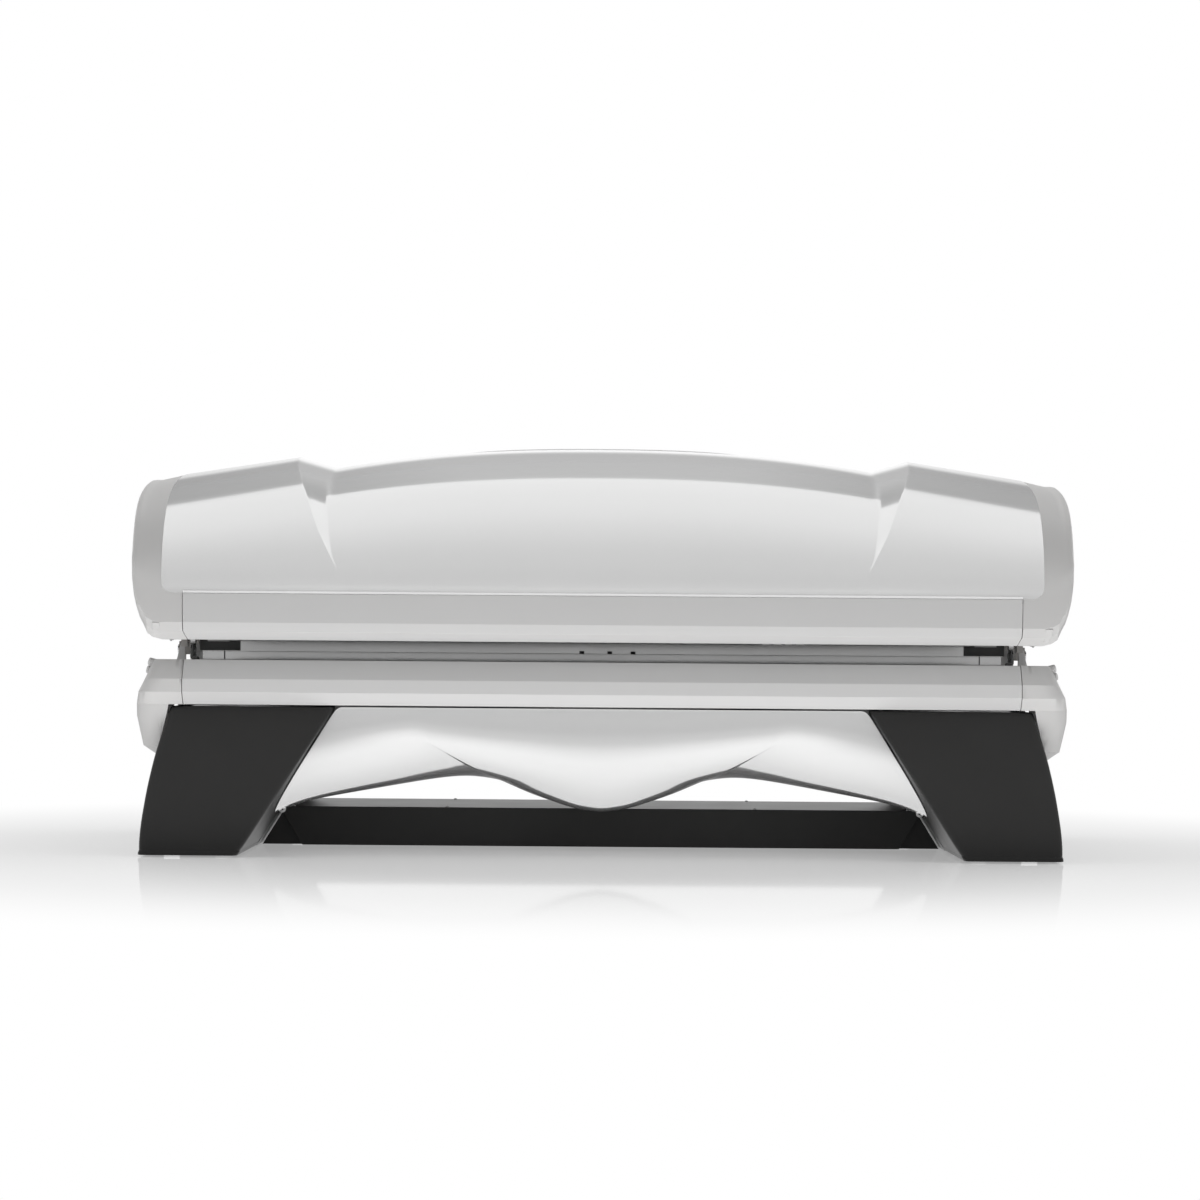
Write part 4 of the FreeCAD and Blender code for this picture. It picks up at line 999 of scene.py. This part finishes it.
def apron_point(foot_x, share, down, outer):
    """A point of the panel: where its column stands, how far down and on which side."""
    height = between(EDGE_HEIGHT, foot_x)
    depth = between(EDGE_DEPTH, foot_x)
    if not outer:
        depth = between(EDGE_DEPTH, min(foot_x, CREASE_FOOT))
    left = 1 - down
    bulge = (-464, height + APRON_FULLNESS * (APRON_TOP[1] - height))
    y = left * left * APRON_TOP[0] + 2 * down * left * bulge[0] - down * down * depth
    z = left * left * APRON_TOP[1] + 2 * down * left * bulge[1] + down * down * height
    foot_height = between(EDGE_HEIGHT, CREASE_FOOT)
    fall = min(max((CREASE_TOP_Z - z) / (CREASE_TOP_Z - foot_height), 0.0), 1.0)
    crease = CREASE_TOP + (CREASE_FOOT - CREASE_TOP) * fall
    if not outer:
        return crease * share, y, z
    end = between(LEG_INNER, z) - LEG_GAP
    return (crease + (end - crease) * share,
            y + WING_SINK * fall * max(1 - share * 1.6, 0.0), z)


def lower_panel():
    """The glossy panel under the trim: arched wings beside a proud pointed middle."""
    columns = [(CREASE_FOOT * share, share, False) for share in INNER_SHARES]
    columns += [(CREASE_FOOT + (769 - CREASE_FOOT) * share, share, True)
                for share in OUTER_SHARES]
    rows = []
    for down in DOWN_SHARES:
        half = [apron_point(foot, share, down, outer) for foot, share, outer in columns]
        rows.append([(-x, y, z) for x, y, z in reversed(half[1:])] + half)
    panel = facing(sheet_through("lower_panel", rows), (0, -100, 400))
    rounded_shell(panel, 4, 1.0, 60, 2)
    return dress(panel, "base", "pearl_white", "lower_front_panel")


# --- legs and the low box ---

LEG_INNER = [(LEG_FOOT, 816), (LEG_TOP, 606)]
LEG_FRONT = [(4, 550), (60, 546), (200, 522), (338, 474)]
LEG_LEVELS = (4, 5, 12, 15, 18, 40, 75, 115, 152, 195, 237, 280, 320, 331, 336, 338)
LEG_ROUND = 15
# how far the wall is drawn in at the sole, at the step over it and at the rounded top
LEG_PULLS = {4: 1.5, 15: 2.0, 18: 1.0, 336: 2.5, 338: 3.5}


def leg_level(height):
    """One level of a leg cover, from its inner back edge round the front to its outer one."""
    pull = LEG_PULLS.get(height, 0.0)
    inner, outer = between(LEG_INNER, height) + pull, between(LEG_OUTER, height) - pull
    front = pull - between(LEG_FRONT, height)
    wall = [(0, (front + LEG_ROUND) * share - LEG_BACK * (1 - share))
            for share in (0, 0.25, 0.5, 0.75, 0.93)]
    for step in range(5):
        turn = math.pi / 2 * step / 4
        wall.append((LEG_ROUND * (1 - math.cos(turn)), front + LEG_ROUND * (1 - math.sin(turn))))
    face = [(inner + LEG_ROUND + (outer - inner - 2 * LEG_ROUND) * share, front)
            for share in (0.06, 0.3, 0.5, 0.7, 0.94)]
    return ([(inner + x, y) for x, y in wall] + face
            + [(outer - x, y) for x, y in reversed(wall)])


def leg_cover(place, facing_y, side, sign):
    """A moulded leg cover with rounded edges, a stepped foot and a closed top."""
    rows = [[(sign * x, facing_y * y, height) for x, y in leg_level(height)]
            for height in LEG_LEVELS]
    top = leg_level(LEG_LEVELS[-1])
    middle = (sum(x for x, y in top) / len(top), -300)
    for share in (0.04, 0.2):
        rows.append([(sign * (x + (middle[0] - x) * share),
                      facing_y * (y + (middle[1] - y) * share * (y < -LEG_BACK - 1)),
                      LEG_LEVELS[-1]) for x, y in top])
    cover = sheet_through("%s_leg_%s" % (place, side), rows)
    facing(cover, (sign * 830, facing_y * -250, 170))
    rounded_shell(cover, 3.5, 0.9, 60, 1)
    return dress(cover, "base", "leg_anthracite", "%s_leg_cover_%s" % (place, side))


BOX_END, BOX_SLOPE, BOX_FRONT, BOX_BACK, BOX_TOP = 771, 54, -50, 400, 93


def low_box():
    """The ballast box between the legs: sloping ends, slots behind, a lid and end gussets."""
    outline = [(-BOX_END, 91), (-(BOX_END - BOX_SLOPE), 0.5), (BOX_END - BOX_SLOPE, 0.5),
               (BOX_END, 91)]
    body = prism("low_box", outline, BOX_FRONT, BOX_BACK, "y")
    hollow = prism("hollow", [(-BOX_END + 4, 97), (-(BOX_END - BOX_SLOPE) + 2, 3),
                              (BOX_END - BOX_SLOPE - 2, 3), (BOX_END - 4, 97)],
                   BOX_FRONT + 2, BOX_BACK - 2, "y")
    slots = [block("slot", (x - 18, BOX_BACK - 8, 26 + row * 12), (x + 18, BOX_BACK + 8,
                                                                30 + row * 12))
             for x in range(-600, 401, 100) for row in range(4)]
    gland = turned("gland", [(0, -10), (10.2, -10), (10.2, 20), (0, 20)], (600, BOX_BACK, 50),
                   (0, 1, 0), 24)
    carved(body, [hollow, gland] + slots)
    dress(softened(body, 1.6, 25), "base", "box_dark", "ballast_box")
    lid = block("box_lid", (-BOX_END + 8, BOX_FRONT, BOX_TOP - 2),
                (BOX_END - 8, BOX_BACK, BOX_TOP - 0.2))
    dress(softened(lid, 0.8), "base", "box_dark", "ballast_lid")
    gussets = [prism("gusset", [(sign * 763, 90), (sign * 719, 1), (sign * 814, 1),
                                (sign * 767, 77)], -34, -30, "y") for _, sign in SIDES]
    dress(softened(joined("box_gussets", gussets), 0.6), "base", "box_dark")


# --- feet, screws and other small parts ---

def foot_pads():
    """Levelling feet: a rubber sole, a waist and a threaded top."""
    profile = [(0, 0), (22, 0), (25, 1.5), (25, 7), (23.5, 9.5), (14, 11.5), (13, 14),
               (15, 15.5), (15, 19.5), (0, 19.8)]
    pads = [turned("pad", profile, (x * 900, y * 450, 0), (0, 0, 1), 36)
            for x in (-1, 1) for y in (-1, 1)]
    return dress(softened(joined("levelling_feet", pads), 0.5), "base", "rubber_black",
                 "foot_pads")


def screw_heads(name, body, places, axis, radius=5.0):
    """Low round screw heads with a small round recess in their tops."""
    profile = [(0, -2), (radius, -2), (radius, 0.6), (radius * 0.8, 1.7), (radius * 0.45, 2.2),
               (radius * 0.3, 1.2), (0, 0.9)]
    heads = [turned("head", profile, place, axis, 20) for place in places]
    return dress(joined(name, heads), body, "pin_chrome")


def all_screws():
    """Screws along the rear cover, the rear shell's foot and the low box's lid."""
    rear = [(x, 500, 433) for x in (-900, -450, 0, 450, 900)]
    screw_heads("rear_cover_screws", "base", rear, (0, 1, 0))
    shell = [(x, on_canopy(x, 497, 590)[1] + 0.4, 580) for x in (-900, -450, 0, 450, 900)]
    screw_heads("rear_shell_screws", "canopy", shell, (0, 1, 0))
    lid = [(x, y, BOX_TOP) for x in (-740, -370, 0, 370, 740) for y in (BOX_FRONT + 14,
                                                                   BOX_BACK - 14)]
    screw_heads("lid_screws", "base", lid, (0, 0, 1), 4.5)


def rim_bumpers():
    """Small rubber buffers on the base's rim, where the canopy comes to rest."""
    profile = [(0, -2), (9, -2), (9, 2), (8, 5), (6, 6.5), (0, 7)]
    bumpers = [turned("bumper", profile, (x, -458, BASE_LIP), (0, 0, 1), 28)
               for x in (-925, 925)]
    return dress(joined("rim_bumpers", bumpers), "base", "rubber_black")


# --- studio ---

# place over the object, from the front horizon (0) to the rear one (1), and how bright it is
CEILING = [(0.078, 1.0), (0.10, 0.42), (0.30, 0.40), (0.352, 0.44), (0.358, 1.0), (0.60, 1.0),
           (0.68, 0.96), (0.77, 0.82), (0.85, 0.68), (0.92, 0.60), (1.0, 0.50)]
CEILING_EDGE, BAR_PLACE, BAR_LEVEL, AMBIENT = 0.3545, 0.34, 0.12, 0.25


def studio_world():
    """White behind the object; for gloss, a soft ceiling that ends sharply at its rear edge."""
    world = bpy.data.worlds.new("studio")
    scene.world = world
    world.use_nodes = True
    tree = world.node_tree
    tree.nodes.clear()
    way = node_in(tree, "TexCoord").outputs["Generated"]
    along, deep, up = node_in(tree, "SeparateXYZ", {"Vector": way}).outputs
    aside = math_in(tree, "ABSOLUTE", along)
    turn = math_in(tree, "DIVIDE", math_in(tree, "ARCTAN2", up, deep), math.pi)
    shift = mapped(tree, aside, (0.19, 0.19 + 0.08 / 1.1), (0.0, 0.08))
    around = math_in(tree, "SUBTRACT", turn, shift)
    level = math_in(tree, "MAXIMUM", mapped(tree, aside, (0.30, 0.42)),
                   mapped(tree, aside, (0.08, 0.26), (1.0, 0.42)))
    level = math_in(tree, "MAXIMUM", level, math_in(tree, "GREATER_THAN", around, CEILING_EDGE))
    off_bar = math_in(tree, "ABSOLUTE", math_in(tree, "SUBTRACT", aside, BAR_PLACE))
    bars = math_in(tree, "MULTIPLY", mapped(tree, off_bar, (0.14, 0.0), kind="SMOOTHSTEP"),
                  mapped(tree, up, (0.12, 0.2)))
    path = node_in(tree, "LightPath").outputs
    gloss = math_in(tree, "MULTIPLY", math_in(tree, "MULTIPLY", bars, BAR_LEVEL),
                   path["Is Glossy Ray"])
    shown = {"Color": toned(tree, around, CEILING), "Strength": math_in(tree, "ADD", gloss, level)}
    sources = [node_in(tree, "Background", inputs).outputs["Background"] for inputs in
               ({"Color": WHITE, "Strength": AMBIENT}, shown, {"Color": WHITE})]
    mirrored = math_in(tree, "MAXIMUM", path["Is Glossy Ray"], path["Is Transmission Ray"])
    lit = node_in(tree, "MixShader", {"Fac": mirrored, 1: sources[0], 2: sources[1]})
    final = node_in(tree, "MixShader", {"Fac": path["Is Camera Ray"], 1: lit.outputs["Shader"],
                                        2: sources[2]})
    node_in(tree, "OutputWorld", {"Surface": final.outputs["Shader"]})


def soft_box(name, place, size, aim, power):
    """A large soft lamp that isn't seen itself, nor mirrored."""
    lamp = bpy.data.lights.new(name, "AREA")
    lamp.shape = "RECTANGLE"
    lamp.size, lamp.size_y = size
    lamp.energy = power
    obj = bpy.data.objects.new(name, lamp)
    obj.location = place
    obj.rotation_euler = (Vector(aim) - Vector(place)).to_track_quat("-Z", "Y").to_euler()
    obj.visible_camera = obj.visible_glossy = obj.visible_transmission = False
    scene.collection.objects.link(obj)


# depth from the middle, in metres, and how bright the floor is in a mirror there
FLOOR_TONES = [(0.0, 0.8), (0.2, 0.85), (0.34, 0.95), (0.42, 1.0), (0.57, 1.0), (0.66, 0.85),
               (0.85, 0.42), (1.2, 0.28), (2.0, 0.34)]


def studio_floor():
    """A pale polished floor: it keeps the shadow, mirrors what is near and fades to white."""
    corners = [(x * 40000, y * 40000, 0) for x, y in ((-1, -1), (1, -1), (1, 1), (-1, 1))]
    floor = piece("floor", corners, [(0, 1, 2, 3)])
    material = plain("studio_floor", Base_Color=(0.93, 0.93, 0.93, 1), Roughness=0.9,
                     Specular_IOR_Level=0.0)
    tree = material.node_tree
    place = node_in(tree, "NewGeometry").outputs["Position"]
    reach = node_in(tree, "VectorMath", {0: place}, operation="LENGTH").outputs["Value"]
    depth = math_in(tree, "ABSOLUTE", node_in(tree, "SeparateXYZ", {"Vector": place}).outputs["Y"])
    far = mapped(tree, reach, (1.0, 2.6), (0.3, 1.0), "SMOOTHSTEP")
    tone = toned(tree, math_in(tree, "MULTIPLY", depth, 0.5),
                 [(away / 2, level) for away, level in FLOOR_TONES])
    path = node_in(tree, "LightPath").outputs
    gloss = path["Is Glossy Ray"]
    share = node_in(tree, "Mix", {"Factor": gloss, "A": far, "B": 1.0}).outputs["Result"]
    share = math_in(tree, "MULTIPLY", share,
                   math_in(tree, "MAXIMUM", path["Is Camera Ray"], gloss))
    bright = node_in(tree, "Mix", {"Factor": gloss, "A": 1.0, "B": tone}).outputs["Result"]
    white = node_in(tree, "Emission", {"Strength": bright})
    mirror = node_in(tree, "BsdfAnisotropic", {"Color": WHITE, "Roughness": 0.05})
    near = mapped(tree, depth, (0.7, 3.2), (0.42, 0.0), "SMOOTHSTEP")
    polished = node_in(tree, "MixShader", {"Fac": near, 1: shader_of(material).outputs["BSDF"],
                                           2: mirror.outputs["BSDF"]})
    final = node_in(tree, "MixShader", {"Fac": share, 1: polished.outputs["Shader"],
                                        2: white.outputs["Emission"]})
    tree.links.new(final.outputs["Shader"], tree.nodes["Material Output"].inputs["Surface"])
    floor.data.materials.append(material)


def studio():
    studio_world()
    studio_floor()
    soft_box("overhead", (0, 0.1, 3.2), (7.0, 3.4), (0, 0.1, 0), 104)
    soft_box("bounce", (0, -1.08, 0.012), (6.0, 0.84), (0, -1.08, 3), 27)
    lens = bpy.data.cameras.new("camera")
    lens.lens, lens.sensor_width = 93.5, 36
    lens.clip_end = 200
    camera = bpy.data.objects.new("camera", lens)
    camera.location = (-0.005, -7.55, 0.45)
    camera.rotation_euler = (math.radians(91.1), math.radians(-0.45), 0)
    scene.collection.objects.link(camera)
    scene.camera = camera
    scene.view_settings.view_transform = "Standard"


# --- the whole ---

finish_frame_nodes()
canopy_panel()
canopy_back()
vent_plate()
for side, sign in SIDES:
    canopy_end_cap(side, sign)
    base_end_cap(side, sign)
    leg_cover("front", 1, side, sign)
    leg_cover("rear", -1, side, sign)
side_plugs("canopy_side_caps", "canopy", "canopy_side_plugs", (1075.5, -350, 680), 0.044, 14, 6)
side_plugs("base_side_caps", "base", "base_side_plugs", (1066.8, -350, 328.5), 0.062, 12, 5)
latch_tabs()
lift_lugs()
canopy_trims()
base_trims()
gap_fittings()
lower_panel()
low_box()
foot_pads()
all_screws()
rim_bumpers()
studio()
